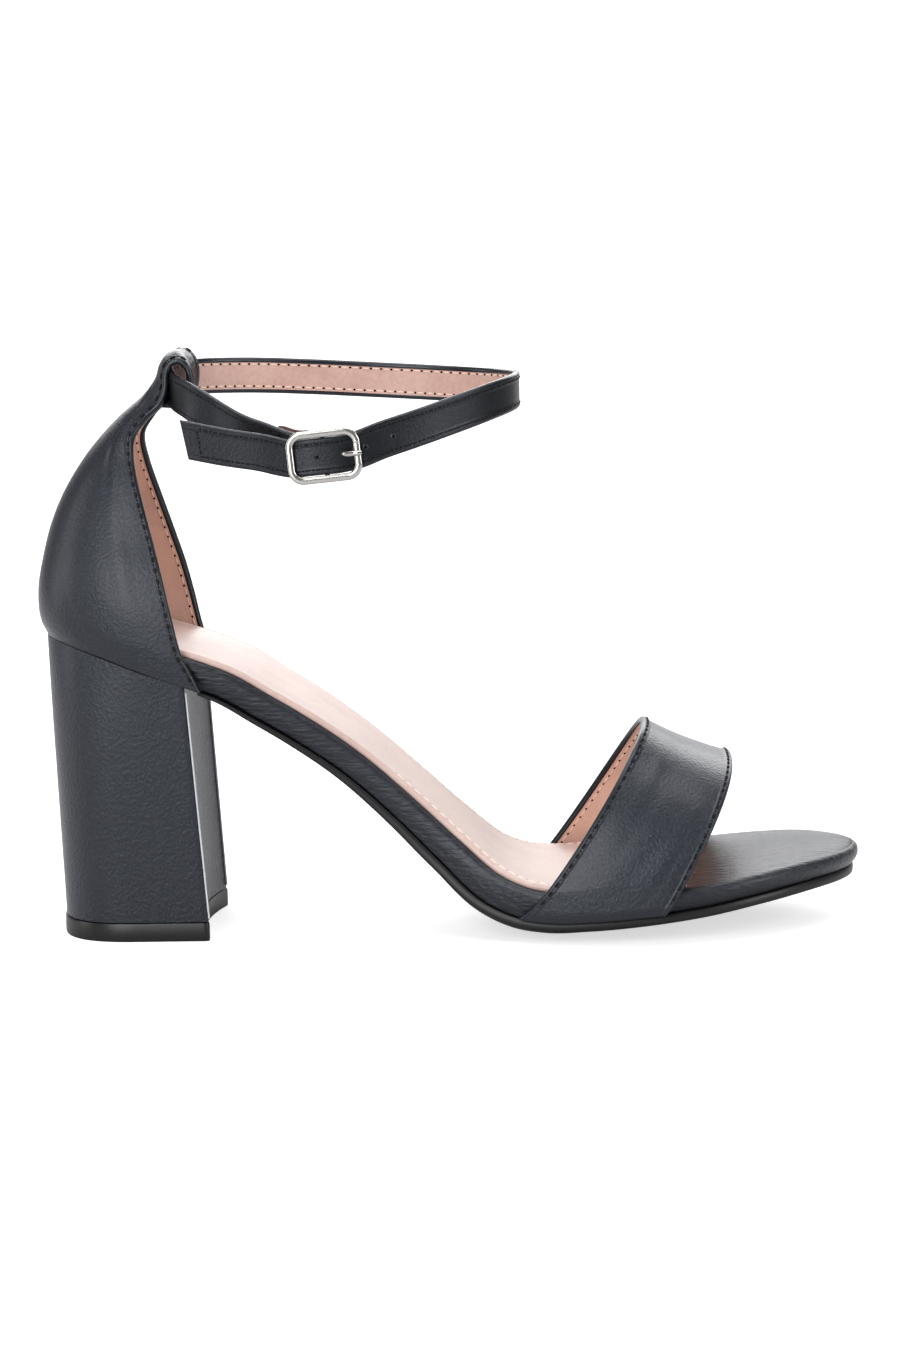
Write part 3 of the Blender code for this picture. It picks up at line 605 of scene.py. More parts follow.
# %% [markdown]
# The cover goes straight up from the foot to the seat. The top lift is the rubber under it. It could be
# one mesh with the heel, but the real one is nailed on, so it is the same outline a hair larger, with
# its two rims rounded.

# %% Heel block and top lift
def heel_rings(ups):
    rings = []
    for up in ups:
        loop = heel_outline(up)
        top = seat_z(loop[:, 0]) - GAP / 4
        rings.append(np.column_stack([loop, mix(LIFT_THICK + GAP, top, up)]))
    return np.array(rings)


def lift_rings():
    loop = heel_outline(0.0)
    centre = loop.mean(axis=0)
    rings = []
    for share, grow in LIFT_PROFILE:
        level = np.full(len(loop), share * LIFT_THICK)
        rings.append(np.column_stack([centre + (loop - centre) * (1 + grow), level]))
    return np.array(rings)


heel_block = skin("heel_cover", heel_rings(np.linspace(0, 1, 40)), [heel_leather], sharp=50)
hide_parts("heel_block")
top_lift = skin("top_lift_tread", lift_rings(), [lift_rubber], sharp=50)
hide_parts("top_lift")
print("heel:", size_of(heel_block))

# %% [markdown]
# ## Strips of leather and lining
# Cup, band and strap are each a leather strip with a lining, and its edges are turned in and stitched.
# A solidify modifier would give them a wall, but no hem. So one rule makes them: the leather face, a
# rounded fold at each edge, and the lining set in a hair from the fold. The turned hem shows as a low
# step about 2 mm wide, and the thread sinks in along it.

# %% Samples across a strip
HEM_STATIONS = np.array((0, 0.12, 0.25, 0.4, 0.5, 0.58, 0.66, 0.74, 0.82, 0.9, 1.0, 1.1, 1.25, 1.45))
HEM_INNER, HEM_OUTER = 0.86, 1.12
THREAD_PLACE, THREAD_GROOVE, THREAD_SINK = 0.66, 0.00028, 0.6
LINING_SET_IN = 0.00025
LINING_START, LINING_FROM, LINING_FLAT = 0.0011, 0.0012, 0.0016


def space_line(line, radius, hem, middle):
    """Samples of one line across a strip, close together at both hems."""
    lengths = lengths_along(line)
    total = lengths[-1]
    radius = min(radius, total * 0.2)
    reach = min(HEM_STATIONS[-1] * hem, total / 2 - radius - 0.0004)
    near = radius + HEM_STATIONS * reach / HEM_STATIONS[-1]
    between = np.linspace(near[-1], total - near[-1], middle)
    at = np.concatenate([near[:-1], between, (total - near[:-1])[::-1]])
    return read_line(line, lengths, at), at, total


print("samples across one hem:", len(HEM_STATIONS))

# %% Strip of leather and lining
def strip(
    name, grid, wall, finishes, hem=0.0022, step=0.00022, flip=1.0, keep=None, relief=None, middle=70
):
    """grid: the outer face, stations by samples across. Returns the object and what stitches need."""
    stations = len(grid)
    radius = np.broadcast_to(np.asarray(wall) / 2, (stations,))
    spaced = [space_line(line, r, hem, middle) for line, r in zip(grid, radius)]
    points, at, widths = (np.array(column) for column in zip(*spaced))
    over = np.gradient(points, axis=1)
    if keep is not None:
        over = over * np.stack([keep, np.ones_like(keep), keep], -1)[:, None, :]
    out = unit(np.cross(np.gradient(points, axis=0), over)) * flip
    edge_way = unit(over)
    distance = np.minimum(at, widths[:, None] - at)
    lift = step * (1 - step_up(distance, hem * HEM_INNER, hem * HEM_OUTER))
    lift = lift - THREAD_SINK * step * np.exp(-((distance - hem * THREAD_PLACE) / THREAD_GROOVE) ** 2)
    if relief is not None:
        share = np.linspace(0, 1, stations)[:, None] + 0 * at
        lift = lift + relief(share, at / widths[:, None], distance)
    deep = radius[:, None, None]
    turns = np.linspace(0, np.pi, 11)[1:-1, None]

    def fold(end, sense):
        way, up = edge_way[:, end, None], out[:, end, None]
        bend = (way * np.sin(turns) + up * np.cos(turns)) * sense * deep
        level = lift[:, :1, None] * (1 + sense * np.cos(turns)) / 2 - deep
        return points[:, end, None] + bend + up * level

    set_in = LINING_SET_IN * step_up(distance, LINING_START, LINING_FLAT)[..., None]
    inner = points - out * (2 * deep - set_in)
    rings = [points + out * lift[..., None], fold(-1, 1.0), inner[:, ::-1], fold(0, -1.0)]
    lining = np.where(distance[stations // 2] > LINING_FROM, 2, 1)[::-1]
    turned = np.ones(len(turns), int)
    tags = np.concatenate([np.zeros(at.shape[1], int), turned, lining, turned])
    item = skin(name, np.concatenate(rings, axis=1), finishes, tags)
    return item, (points, out, at, widths, lift, radius)


# %% [markdown]
# Threads and their holes need a line on the strip. It could be traced over the finished mesh, but the
# strip already knows its points, its way out and its hem, so the line is read from them.

# %% Line on a strip
def row_on(facts, distance, far=False, inner=False):
    """A line on the strip at one distance from an edge, with the way out of the face."""
    line, outs = [], []
    for points, out, at, width, lift, radius in zip(*facts):
        place = width - distance if far else distance
        way = read_line(out, at, place)
        off = LINING_SET_IN * 0.88 - 2 * radius if inner else np.interp(place, at, lift)
        line.append(read_line(points, at, place) + way * off)
        outs.append(-way if inner else way)
    return np.array(line), unit(np.array(outs))


# %% [markdown]
# ## Stitches
# A lockstitch shows as short threads in a row, each dipping into its needle hole. They could be painted
# in the shader, but modelled threads catch light and keep their size on every edge. The centre, run
# and way out of every stitch go on a cloud of points, and a node tree puts one thread on each point.

# %% Stitch node tree
def stitch_tree():
    tree = bpy.data.node_groups.new("threads_on_points", "GeometryNodeTree")
    kinds = {"Points": "Geometry", "Length": "Float", "Thickness": "Float", "Flatness": "Float"}
    for label, kind in (*kinds.items(), ("Finish", "Material")):
        tree.interface.new_socket(label, in_out="INPUT", socket_type="NodeSocket" + kind)
    tree.interface.new_socket("Geometry", in_out="OUTPUT", socket_type="NodeSocketGeometry")
    start = node(tree, "NodeGroupInput").outputs
    attribute = "GeometryNodeInputNamedAttribute"
    align = "FunctionNodeAlignRotationToVector"
    run = node(tree, attribute, {"Name": "run"}, data_type="FLOAT_VECTOR").outputs["Attribute"]
    out = node(tree, attribute, {"Name": "out"}, data_type="FLOAT_VECTOR").outputs["Attribute"]
    along = node(tree, align, {"Vector": run}, axis="X").outputs["Rotation"]
    turned = node(tree, align, {"Rotation": along, "Vector": out}, axis="Z", pivot_axis="X")
    ball = node(tree, "GeometryNodeMeshUVSphere", {"Segments": 8, "Rings": 6, "Radius": 0.5})
    flat = sums(tree, "MULTIPLY", start["Thickness"], start["Flatness"])
    size_inputs = {"X": start["Length"], "Y": start["Thickness"], "Z": flat}
    size = node(tree, "ShaderNodeCombineXYZ", size_inputs).outputs["Vector"]
    placed_inputs = {
        "Points": start["Points"],
        "Instance": ball.outputs["Mesh"],
        "Rotation": turned.outputs["Rotation"],
        "Scale": size,
    }
    shape = node(tree, "GeometryNodeInstanceOnPoints", placed_inputs).outputs["Instances"]
    for step, more in (
        ("RealizeInstances", {}),
        ("SetShadeSmooth", {}),
        ("SetMaterial", {"Material": start["Finish"]}),
    ):
        shape = node(tree, "GeometryNode" + step, {"Geometry": shape, **more}).outputs["Geometry"]
    node(tree, "NodeGroupOutput", {"Geometry": shape})
    return tree


THREADS = stitch_tree()
print("inputs:", [socket.name for socket in THREADS.interface.items_tree if socket.in_out == "INPUT"])

# %% [markdown]
# A guide object holds the points. Its modifier is read once, the result is kept as a plain mesh, and the
# guide is deleted. A row of stitches is threads, with a dark bead of painted shade for the needle hole
# between each two.

# %% Threads on points
def scatter(name, spots, runs, outs, length, thick, flatness, made_of):
    """One thread, or one hole, on each spot, as a plain mesh."""
    cloud = bpy.data.meshes.new(name + "_spots")
    cloud.from_pydata([tuple(p) for p in spots], [], [])
    for key, values in (("run", runs), ("out", outs)):
        layer = cloud.attributes.new(key, "FLOAT_VECTOR", "POINT")
        layer.data.foreach_set("vector", np.asarray(values, np.float32).ravel())
    guide = put_object(name + "_guide", cloud)
    change = guide.modifiers.new("threads", "NODES")
    change.node_group = THREADS
    values = {"Length": length, "Thickness": thick, "Flatness": flatness, "Finish": made_of}
    for socket in THREADS.interface.items_tree:
        if socket.in_out == "INPUT" and socket.name in values:
            change[socket.identifier] = values[socket.name]
    bpy.context.view_layer.update()
    graph = bpy.context.evaluated_depsgraph_get()
    mesh = bpy.data.meshes.new_from_object(guide.evaluated_get(graph))
    mesh.name = name
    bpy.data.objects.remove(guide)
    item = put_object(name, mesh)
    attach(item, "root")


# %% Rows of stitches
def stitch(name, line, outs, pitch, made_of, length, thick, sink, holes):
    """length: share of the pitch. sink: share of the thickness. holes: their size."""
    lengths = lengths_along(line)
    count = max(int(lengths[-1] / pitch), 1)
    gap = lengths[-1] / count

    def frames(at):
        ends = read_line(line, lengths, at + 0.0002) - read_line(line, lengths, at - 0.0002)
        return read_line(line, lengths, at), unit(ends), unit(read_line(outs, lengths, at))

    spots, runs, ways = frames((np.arange(count) + 0.5) * gap)
    scatter(name, spots - ways * thick * sink, runs, ways, pitch * length, thick, 0.8, made_of)
    spots, runs, ways = frames(np.arange(count + 1) * gap)
    scatter(name + "_holes", spots, runs, ways, holes, holes * 0.9, 0.25, painted_hole_shade)


def sew(facts, seams):
    """Each stitched row along both edges. seams: name, distance in from the edge, sewn stretch, row,
    inner.
    """
    for far in (False, True):
        for name, distance, span, row, inner in seams:
            line, outs = row_on(facts, distance, far, inner)
            stitch(f"{name}_{int(far)}", line[span], outs[span], **row)


def stitch_row(*values):
    return dict(zip(("pitch", "made_of", "length", "thick", "sink", "holes"), values))


EDGE_ROW = stitch_row(0.0031, black_thread, 0.62, 0.00085, -0.1, 0.0006)
LINING_ROW = stitch_row(0.0030, lining_thread, 0.74, 0.0005, 0.0, 0.0007)
SOCK_ROW = stitch_row(0.0030, nude_thread, 0.72, 0.0005, 0.0, 0.0005)
STRAP_ROW = stitch_row(0.0027, black_thread, 0.66, 0.0006, 0.05, 0.0006)
STRAP_LINING_ROW = stitch_row(0.0029, lining_thread, 0.76, 0.00048, 0.0, 0.00072)
TIP_ROW = {**STRAP_ROW, "pitch": 0.0022}
print("stitches in 10 mm of an edge:", round(0.010 / EDGE_ROW["pitch"], 1))

# %% [markdown]
# The sock is sewn to the footbed's wrap along the front half of the foot, close to its rim. A strip's
# rule can't lead this row, so it follows the sole's rule, at the sock's own level.

# %% Sock stitches
sock_sewn = np.linspace(0.40, 0.735, 160)
sock_inset = SOCK_MARGIN + 0.0020
sock_level = sole("rim", sock_sewn) * RIM_THICK + GAP + SOCK_THICK
for sign in (-1.0, 1.0):
    level = sock_level + dome(sock_sewn, 0.93 * sign)
    row = stack_point(sock_sewn, sign, level, sock_inset)
    lifted = stack_point(sock_sewn, sign, level + 0.001, sock_inset)
    stitch(f"sock_stitches_{int(sign > 0)}", row, unit(lifted - row), **SOCK_ROW)
print("sock stitches:", len(sock_sewn), "guide points a side")

# %% [markdown]
# ## Heel cup
# One stiff black piece round the heel. Its front edges sweep up and in to a narrow neck, and the neck
# runs on as the tab that closes over the ankle strap. The tab is one layer folded forward and down,
# and its end is tucked inside. It could be sculpted. Rows from the foot up to the tab's end are used
# instead, each a bow with a back point, an edge point and a width, because rows can be measured.

# %% Heel cup rows
# back, back_up, edge, edge_up, half, rounded, wall, tilt
CUP_TABLE = (
    (0.044, 0.000, 1.000, 0.000, 0.962, 1.00, 1.00, 0.0),
    (0.012, 0.050, 0.950, 0.064, 0.985, 1.00, 1.00, 0.0),
    (0.000, 0.115, 0.890, 0.139, 1.000, 1.00, 1.00, 0.0),
    (0.006, 0.208, 0.838, 0.294, 0.993, 0.97, 1.00, 0.0),
    (0.038, 0.321, 0.796, 0.420, 0.940, 0.95, 1.00, 0.0),
    (0.089, 0.462, 0.745, 0.545, 0.832, 0.90, 1.00, 0.0),
    (0.170, 0.610, 0.685, 0.683, 0.715, 0.82, 0.97, 0.0),
    (0.287, 0.767, 0.630, 0.822, 0.570, 0.70, 0.93, 0.0),
    (0.409, 0.901, 0.616, 0.937, 0.403, 0.50, 0.88, 0.1),
    (0.528, 1.015, 0.682, 1.030, 0.310, 0.30, 0.82, 0.2),
    (0.640, 1.110, 0.762, 1.110, 0.280, 0.12, 0.76, 0.4),
)
# deep, high, bow, fall, half, tilt
TAB_TABLE = (
    (0.00, 0.00, 0.34, 0.24, 1.00, 0.7),
    (0.14, 0.40, 0.22, 0.25, 1.00, 1.0),
    (0.36, 0.70, 0.14, 0.26, 1.00, 1.1),
    (0.64, 0.80, 0.14, 0.27, 1.00, 1.1),
    (0.88, 0.64, 0.14, 0.27, 1.00, 1.1),
    (1.00, 0.30, 0.14, 0.27, 1.00, 1.1),
    (0.98, -0.10, 0.14, 0.30, 1.00, 1.0),
    (0.84, -0.56, 0.14, 0.34, 1.00, 1.1),
    (0.50, -0.73, 0.16, 0.06, 0.86, 0.8),
    (0.14, -0.74, 0.20, 0.02, 0.70, 0.5),
    (-0.30, -0.74, 0.22, 0.00, 0.56, 0.3),
)


def cup_rows():
    rows = []
    for back, back_up, edge, edge_up, half, rounded, wall, tilt in CUP_TABLE:
        xs = SOLE_BACK + back * CUP_LENGTH, SOLE_BACK + edge * CUP_LENGTH
        ups = back_up * CUP_HEIGHT, edge_up * CUP_HEIGHT
        half = half * HEEL_WIDTH / 2
        rows.append((xs[0], ups[0], xs[1], ups[1], half, rounded, wall * WALL, tilt * TAB_TILT))
    tab_back = LOOP_BACK - STRAP_THICK / 2 - GAP - TAB_WALL - TAB_DEPTH * 0.18
    for deep, high, bow, fall, half, tilt in TAB_TABLE:
        back_x = tab_back + deep * TAB_DEPTH
        edge_x = back_x + bow * TAB_DEPTH
        back_up = STRAP_HEIGHT + high * STRAP_WIDTH - seat_z(np.array(back_x))
        edge_up = STRAP_HEIGHT + (high - fall) * STRAP_WIDTH - seat_z(np.array(edge_x))
        half = half * TAB_WIDTH / 2
        rows.append((back_x, back_up, edge_x, edge_up, half, 0.0, TAB_WALL, tilt * TAB_TILT))
    return np.array(rows, float)


CUP_ROWS = cup_rows()
CUP_STEPS = np.linspace(0, 1, len(CUP_ROWS))
print("cup rows:", len(CUP_ROWS))

# %% [markdown]
# The surface runs smoothly through the rows. A real cup also has soft hollows where the leather was pulled
# over its stiffener. They could come from noise, but here each is placed one by one, near the neck and low
# on the side, where the photo shows them.

# %% Heel cup surface
def cup_surface(across, up):
    across, up = np.broadcast_arrays(across, up)
    columns = [smooth(up, CUP_STEPS, CUP_ROWS[:, k]) for k in range(8)]
    back_x, back_up, edge_x, edge_up, half, rounded, _, tilt = columns
    rounded = np.clip(rounded, 0, 1)
    turn = np.sin((2 * across - 1) * np.pi / 2)
    side = np.sign(turn) * abs(turn) ** (1 - 0.26 * rounded)
    bow = np.maximum(1 - abs(side) ** (2 + 0.7 * rounded), 0)
    forward = 1 - bow ** (1 / (1 + 1.7 * rounded))
    x = mix(back_x, edge_x, forward)
    z = seat_z(x) + mix(back_up, edge_up, forward) + np.where(side > 0, tilt * forward, 0.0)
    return np.stack([x, side * half, z], -1)


def troughs(u, v, rows):
    """Soft hollows and ridges. rows: start u and v, end u and v, width and depth."""
    total = 0 * u
    for u0, v0, u1, v1, width, depth in rows:
        du, dv = u1 - u0, v1 - v0
        t = np.clip(((u - u0) * du + (v - v0) * dv) / (du * du + dv * dv), 0, 1)
        gap = np.hypot(u - u0 - t * du, v - v0 - t * dv)
        total = total - depth * np.exp(-(gap / width) ** 2) * np.sin(np.pi * np.clip(t * 0.8 + 0.1, 0, 1))
    return total


CUP_CREASES = (
    (0.30, 0.14, 0.44, 0.17, 0.012, 0.00040),
    (0.36, 0.18, 0.46, 0.24, 0.012, 0.00036),
    (0.45, 0.20, 0.50, 0.36, 0.010, 0.00045),
    (0.40, 0.10, 0.47, 0.13, 0.008, 0.00035),
    (0.02, 0.22, 0.20, 0.30, 0.030, 0.00030),
    (0.10, 0.10, 0.30, 0.12, 0.020, -0.00020),
)


def cup_relief(share, across, distance):
    fade = step_up(distance, 0.003, 0.008)
    return troughs(share, across, CUP_CREASES) * fade


print("cup creases:", len(CUP_CREASES))

# %% [markdown]
# The cup is sewn along both edges with black thread outside and a paler one inside. The tab's inside is
# black, because it is the outer layer folded in. It could be a piece of its own, but the lining's faces
# above a level in the neck can simply take the finish of the turned edge.

# %% Heel cup
TAB_BLACK_FROM = 0.1410
cup_ups = np.linspace(0, 1, 301)
cup_grid = cup_surface(np.linspace(0, 1, 601)[None, :], cup_ups[:, None])
cup_wall = smooth(cup_ups, CUP_STEPS, CUP_ROWS[:, 6])
cup_keep = np.clip(4 * smooth(cup_ups, CUP_STEPS, CUP_ROWS[:, 5]), 0, 1)
upper_finishes = [upper_leather, edge_leather, lining_suede]
heel_cup, cup_facts = strip(
    "heel_cup_leather", cup_grid, cup_wall, upper_finishes, keep=cup_keep, relief=cup_relief
)
for face in heel_cup.data.polygons:
    if face.material_index == 2 and face.center.z > TAB_BLACK_FROM:
        face.material_index = 1
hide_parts("heel_cup")
cup_seams = (
    ("cup_edge_stitches", 0.0015, slice(6, 215), EDGE_ROW, False),
    ("cup_lining_stitches", 0.0026, slice(6, 165), LINING_ROW, True),
)
sew(cup_facts, cup_seams)
print("heel cup:", size_of(heel_cup))

# %% [markdown]
# ## Vamp band
# One wide strip pulled down over the toes on both sides and caught between footbed and sole. It leans
# back at the feet and its front edge is lower than its back edge. A cloth simulation could drape it, but
# an arch with flattened sides can be set to the photo's heights and is the same in every run.

# %% Vamp band surface
ARCH_POWER, LEAN_POWER, BAND_SAG = 2 / 2.5, 0.85, 0.0004


def band_surface(around, width):
    around, width = np.broadcast_arrays(around, width)
    turn = np.pi * (around - 0.5)
    side = np.where(turn > 0, 1.0, -1.0)
    spread = abs(np.sin(turn)) ** ARCH_POWER
    height = np.maximum(np.cos(turn), 0) ** ARCH_POWER
    front_foot = SOLE_BACK + BAND_FRONT_FOOT + BAND_SKEW * step_up(np.sin(turn), -1.0, 1.0)
    foot_x = mix(SOLE_BACK + BAND_BACK_FOOT, front_foot, width)
    top_x = SOLE_BACK + mix(BAND_BACK_TOP, BAND_FRONT_TOP, width)
    x = foot_x + (top_x - foot_x) * height**LEAN_POWER
    near = np.minimum(x, foot_x + 0.008)
    rise = mix(BAND_RISE_BACK, BAND_RISE_FRONT, width) - BAND_SAG * np.sin(np.pi * width) * height
    up = np.minimum(0.3 + rise * height / (RIM_THICK * sole("rim", along_of(near))), 0.72)
    board = abs(stack_point(along_of(near), side, 0.0, side_tuck(along_of(near), up))[..., 1])
    reach = board + BAND_WALL + 1.3 * GAP
    return np.stack([x, side * spread * reach, seat_z(near) + rise * height], -1)


BAND_CREASES = (
    (0.10, 0.50, 0.24, 0.70, 0.060, 0.00016),
    (0.16, 0.30, 0.34, 0.42, 0.070, 0.00012),
    (0.06, 0.78, 0.30, 0.86, 0.040, 0.00020),
    (0.30, 0.25, 0.45, 0.35, 0.060, -0.00012),
    (0.62, 0.40, 0.80, 0.30, 0.060, 0.00012),
)


def band_relief(share, across, distance):
    return troughs(share, across, BAND_CREASES) * step_up(distance, 0.003, 0.007)


print("band creases:", len(BAND_CREASES))

# %% [markdown]
# The band uses the same strip rule as the cup, and its two hems are sewn like the cup's. Even samples
# would waste faces on its flat top, so they crowd towards its two feet, where it bends most.

# %% Vamp band
band_grid = band_surface(crowd(361, 0.55)[:, None], np.linspace(0, 1, 201)[None, :])
vamp_band, band_facts = strip(
    "vamp_band_leather", band_grid, BAND_WALL, upper_finishes, flip=-1.0, relief=band_relief
)
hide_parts("vamp_band")
band_seams = (
    ("band_edge_stitches", 0.0015, slice(12, -12), EDGE_ROW, False),
    ("band_lining_stitches", 0.0026, slice(20, -20), LINING_ROW, True),
)
sew(band_facts, band_seams)
print("band:", size_of(vamp_band))

# %% [markdown]
# ## Ankle strap
# The strap starts folded round the buckle's middle bar, goes back through the tab, round the ankle and
# through the buckle again. A curve object with a bevel would twist at the fold. So its middle line is a
# list of given points, and the way up is worked out at each one.

# %% Strap route
# along, side, down
STRAP_TABLE = (
    (0.290, -0.890, 0.806),
    (0.225, -0.800, 0.700),
    (0.155, -0.655, 0.530),
    (0.068, -0.480, 0.290),
    (0.016, -0.260, 0.160),
    (0.000, -0.030, 0.040),
    (0.018, 0.240, 0.015),
    (0.085, 0.490, 0.010),
    (0.215, 0.735, 0.030),
    (0.375, 0.910, 0.080),
    (0.550, 0.975, 0.140),
    (0.715, 0.920, 0.190),
    (0.850, 0.760, 0.225),
    (0.945, 0.490, 0.240),
    (0.992, 0.160, 0.240),
    (0.985, -0.180, 0.270),
    (0.925, -0.500, 0.360),
    (0.820, -0.760, 0.520),
    (0.700, -0.955, 0.700),
    (0.610, -1.055, 0.830),
)
BUCKLE_ALONG, BUCKLE_SIDE, BUCKLE_DOWN = 0.465, -0.990, 1.000


def strap_middle(along, side, down):
    x = LOOP_BACK + along * LOOP_LENGTH
    return np.array([x, side * LOOP_WIDTH / 2, STRAP_HEIGHT - down * STRAP_DROP])


print("places round the ankle:", len(STRAP_TABLE))

# %% Strap path
BUCKLE = strap_middle(BUCKLE_ALONG, BUCKLE_SIDE, BUCKLE_DOWN)
FOLD_RADIUS = PIN_RADIUS + GAP + STRAP_THICK / 2
LAYER = STRAP_THICK + GAP
BAR_DEPTH = FOLD_RADIUS + LAYER
FRAME_DEPTH = BAR_DEPTH + 0.0012
BUCKLE_TURN = np.array(Matrix.Rotation(-BUCKLE_SLOPE, 3, "Y"))


def at_buckle(forward, outward, up=0.0):
    return BUCKLE + BUCKLE_TURN @ np.array((forward, -outward, up))


def strap_path():
    fold = FOLD_RADIUS
    rise = np.array((0.0, 0.0, STRAP_DROP * 0.05))
    points = [
        at_buckle(-0.0150, -0.0047) + rise * 3.8,
        at_buckle(-0.0100, -0.0026) + rise * 2.4,
        at_buckle(-0.0050, -fold - 0.0002) + rise,
    ]
    for turn in np.radians(range(0, 181, 30)):
        points.append(at_buckle(fold * math.sin(turn), -fold * math.cos(turn)))
    points += [
        at_buckle(-0.0025, fold - 0.0001) + rise * 0.3,
        at_buckle(-0.0050, 0.0012) + rise,
        at_buckle(-0.0100, -0.0002) + rise * 2.4,
    ]
    points += [strap_middle(*row) for row in STRAP_TABLE]
    half = BUCKLE_LENGTH / 2
    under = FRAME_DEPTH - BUCKLE_BAR / 2 - GAP - STRAP_THICK / 2
    points += [
        at_buckle(half + 0.0020, under - 0.0002) + np.array((0, 0, 0.0014)),
        at_buckle(half - 0.0016, under) + np.array((0, 0, 0.0005)),
        at_buckle(0.42 * half, BAR_DEPTH - 0.0002),
        at_buckle(0.0, BAR_DEPTH),
        at_buckle(-0.42 * half, BAR_DEPTH - 0.0002),
        at_buckle(-half + 0.0016, under),
        at_buckle(-half - 0.0015, under) + np.array((0, 0, 0.0008)),
    ]
    for share, out, lift in ((0.48, 0.0002, 0.0011), (0.74, 0.0002, 0.0026), (1.0, 0.0004, 0.0045)):
        points.append(BUCKLE + np.array((-TIP_LENGTH * share, -under - out, lift)))
    return np.array(points)


path = strap_path()
print("path points:", len(path))

# %% [markdown]
# The path's points are joined by a smooth curve and read every half millimetre. Straight lines between
# them would show as kinks. Beside the buckle the curve is averaged over 14 mm as well, as leather bends
# slowly there. The strap stands upright and leans with the buckle only near it.

# %% Strap line
knots = np.concatenate([[0], np.cumsum(np.sqrt(np.linalg.norm(np.diff(path, axis=0), axis=1)))])
fine = np.linspace(0, knots[-1], 4001)
curve = np.stack([smooth(fine, knots, path[:, k]) for k in range(3)], -1)
curve_lengths = lengths_along(curve)
STRAP_STEP = 0.0005
STRAP_TOTAL = curve_lengths[-1]
curve_at = np.append(np.arange(0, STRAP_TOTAL, STRAP_STEP), STRAP_TOTAL)
strap_mid = read_line(curve, curve_lengths, curve_at)
window = 14
soft = np.hanning(2 * window + 1) / window
eased = [np.convolve(np.pad(strap_mid[:, k], window, mode="edge"), soft, "valid") for k in range(3)]
beside = step_up(curve_at, STRAP_TOTAL - 0.080, STRAP_TOTAL - 0.072)
beside = beside * (1 - step_up(curve_at, STRAP_TOTAL - 0.050, STRAP_TOTAL - 0.044))
strap_mid = mix(strap_mid, np.stack(eased, -1), beside[:, None])
strap_at = lengths_along(strap_mid)
ahead = read_line(strap_mid, strap_at, strap_at + 0.0004)
strap_run = unit(ahead - read_line(strap_mid, strap_at, strap_at - 0.0004))
from_buckle = np.linalg.norm(strap_mid - BUCKLE, axis=1)
lean = BUCKLE_SLOPE * (1 - step_up(from_buckle, BUCKLE_LENGTH * 0.8, BUCKLE_LENGTH * 1.3))
upright = np.stack([-np.sin(lean), 0 * lean, np.cos(lean)], -1)
strap_high = unit(upright - np.sum(upright * strap_run, axis=1, keepdims=True) * strap_run)
strap_out = -np.cross(strap_run, strap_high)
print("strap length:", round(STRAP_TOTAL, 4))

# %% [markdown]
# The strap is black outside and nude inside, with a thread row along each edge. It is a strip like the
# cup and band, with a narrower hem. The slanted tip could be cut off with a boolean, but shearing the
# last 9 mm keeps the hem and the fold whole.

# %% Strap
across = np.linspace(-0.5, 0.5, 41)[None, :, None]
tip_ramp = step_up(strap_at, strap_at[-1] - 0.009, strap_at[-1])[:, None, None]
strap_grid = strap_mid[:, None, :] + strap_high[:, None, :] * across * STRAP_WIDTH
strap_grid = strap_grid + strap_out[:, None, :] * STRAP_THICK / 2
strap_grid = strap_grid + strap_run[:, None, :] * TIP_SLANT * (across + 0.5) * tip_ramp
strap_finishes = [strap_leather, edge_leather, strap_lining]
strap, strap_facts = strip(
    "ankle_strap_leather", strap_grid, STRAP_THICK, strap_finishes, 0.0021, 0.00010, flip=-1.0, middle=24
)
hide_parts("ankle_strap")
strap_seams = (
    ("strap_edge_stitches", 0.0016, slice(70, -8), STRAP_ROW, False),
    ("strap_lining_stitches", 0.0019, slice(90, -8), STRAP_LINING_ROW, True),
)
sew(strap_facts, strap_seams)
print("strap:", size_of(strap))

# %% [markdown]
# The strap has punched holes with a burnished rim. They could be cut, but their depth doesn't show, so
# each is a flat bead of painted shade on a wider black one. A short row of threads closes the slanted tip.
# The cut edge of the folded end shows brown above the strap beside the buckle.

# %% Holes, tip and cut edge
HOLE_SPOTS = (0.0568, 0.0694, 0.0766)
HOLE_WIDTH, HOLE_RIM_WIDTH, HOLE_FLATNESS = 0.0013, 0.0019, 0.3
NEAR_RUN = 0.075
TIP_PLACE = -9


def strap_place(x):
    """Where the near run of the strap passes a given x: the index along it."""
    first = len(strap_mid) - int(NEAR_RUN / STRAP_STEP)
    return first + int(np.argmin(abs(strap_mid[first:, 0] - x)))


hole_at = np.array([strap_place(x) for x in HOLE_SPOTS])
hole_run, hole_out = strap_run[hole_at], strap_out[hole_at]
hole_spots = strap_mid[hole_at] + hole_out * (STRAP_THICK / 2 + 0.00005)
rim_spots = hole_spots - hole_out * 0.00012
for name, spots, wide, made_of in (
    ("strap_holes", hole_spots, HOLE_WIDTH, painted_hole_shade),
    ("strap_hole_rims", rim_spots, HOLE_RIM_WIDTH, edge_leather),
):
    scatter(name, spots, hole_run, hole_out, wide, wide, HOLE_FLATNESS, made_of)
tip_shares = np.array([-0.34, -0.11, 0.11, 0.34])[:, None]
tip_line = strap_mid[TIP_PLACE] + strap_high[TIP_PLACE] * tip_shares * STRAP_WIDTH
tip_line = tip_line + strap_out[TIP_PLACE] * STRAP_THICK / 2
tip_line = tip_line + strap_run[TIP_PLACE] * TIP_SLANT * (tip_shares + 0.5) * 0.9
tip_outs = np.repeat(strap_out[TIP_PLACE][None, :], len(tip_line), axis=0)
stitch("tip_stitches", tip_line, tip_outs, **TIP_ROW)
cut_rows = []
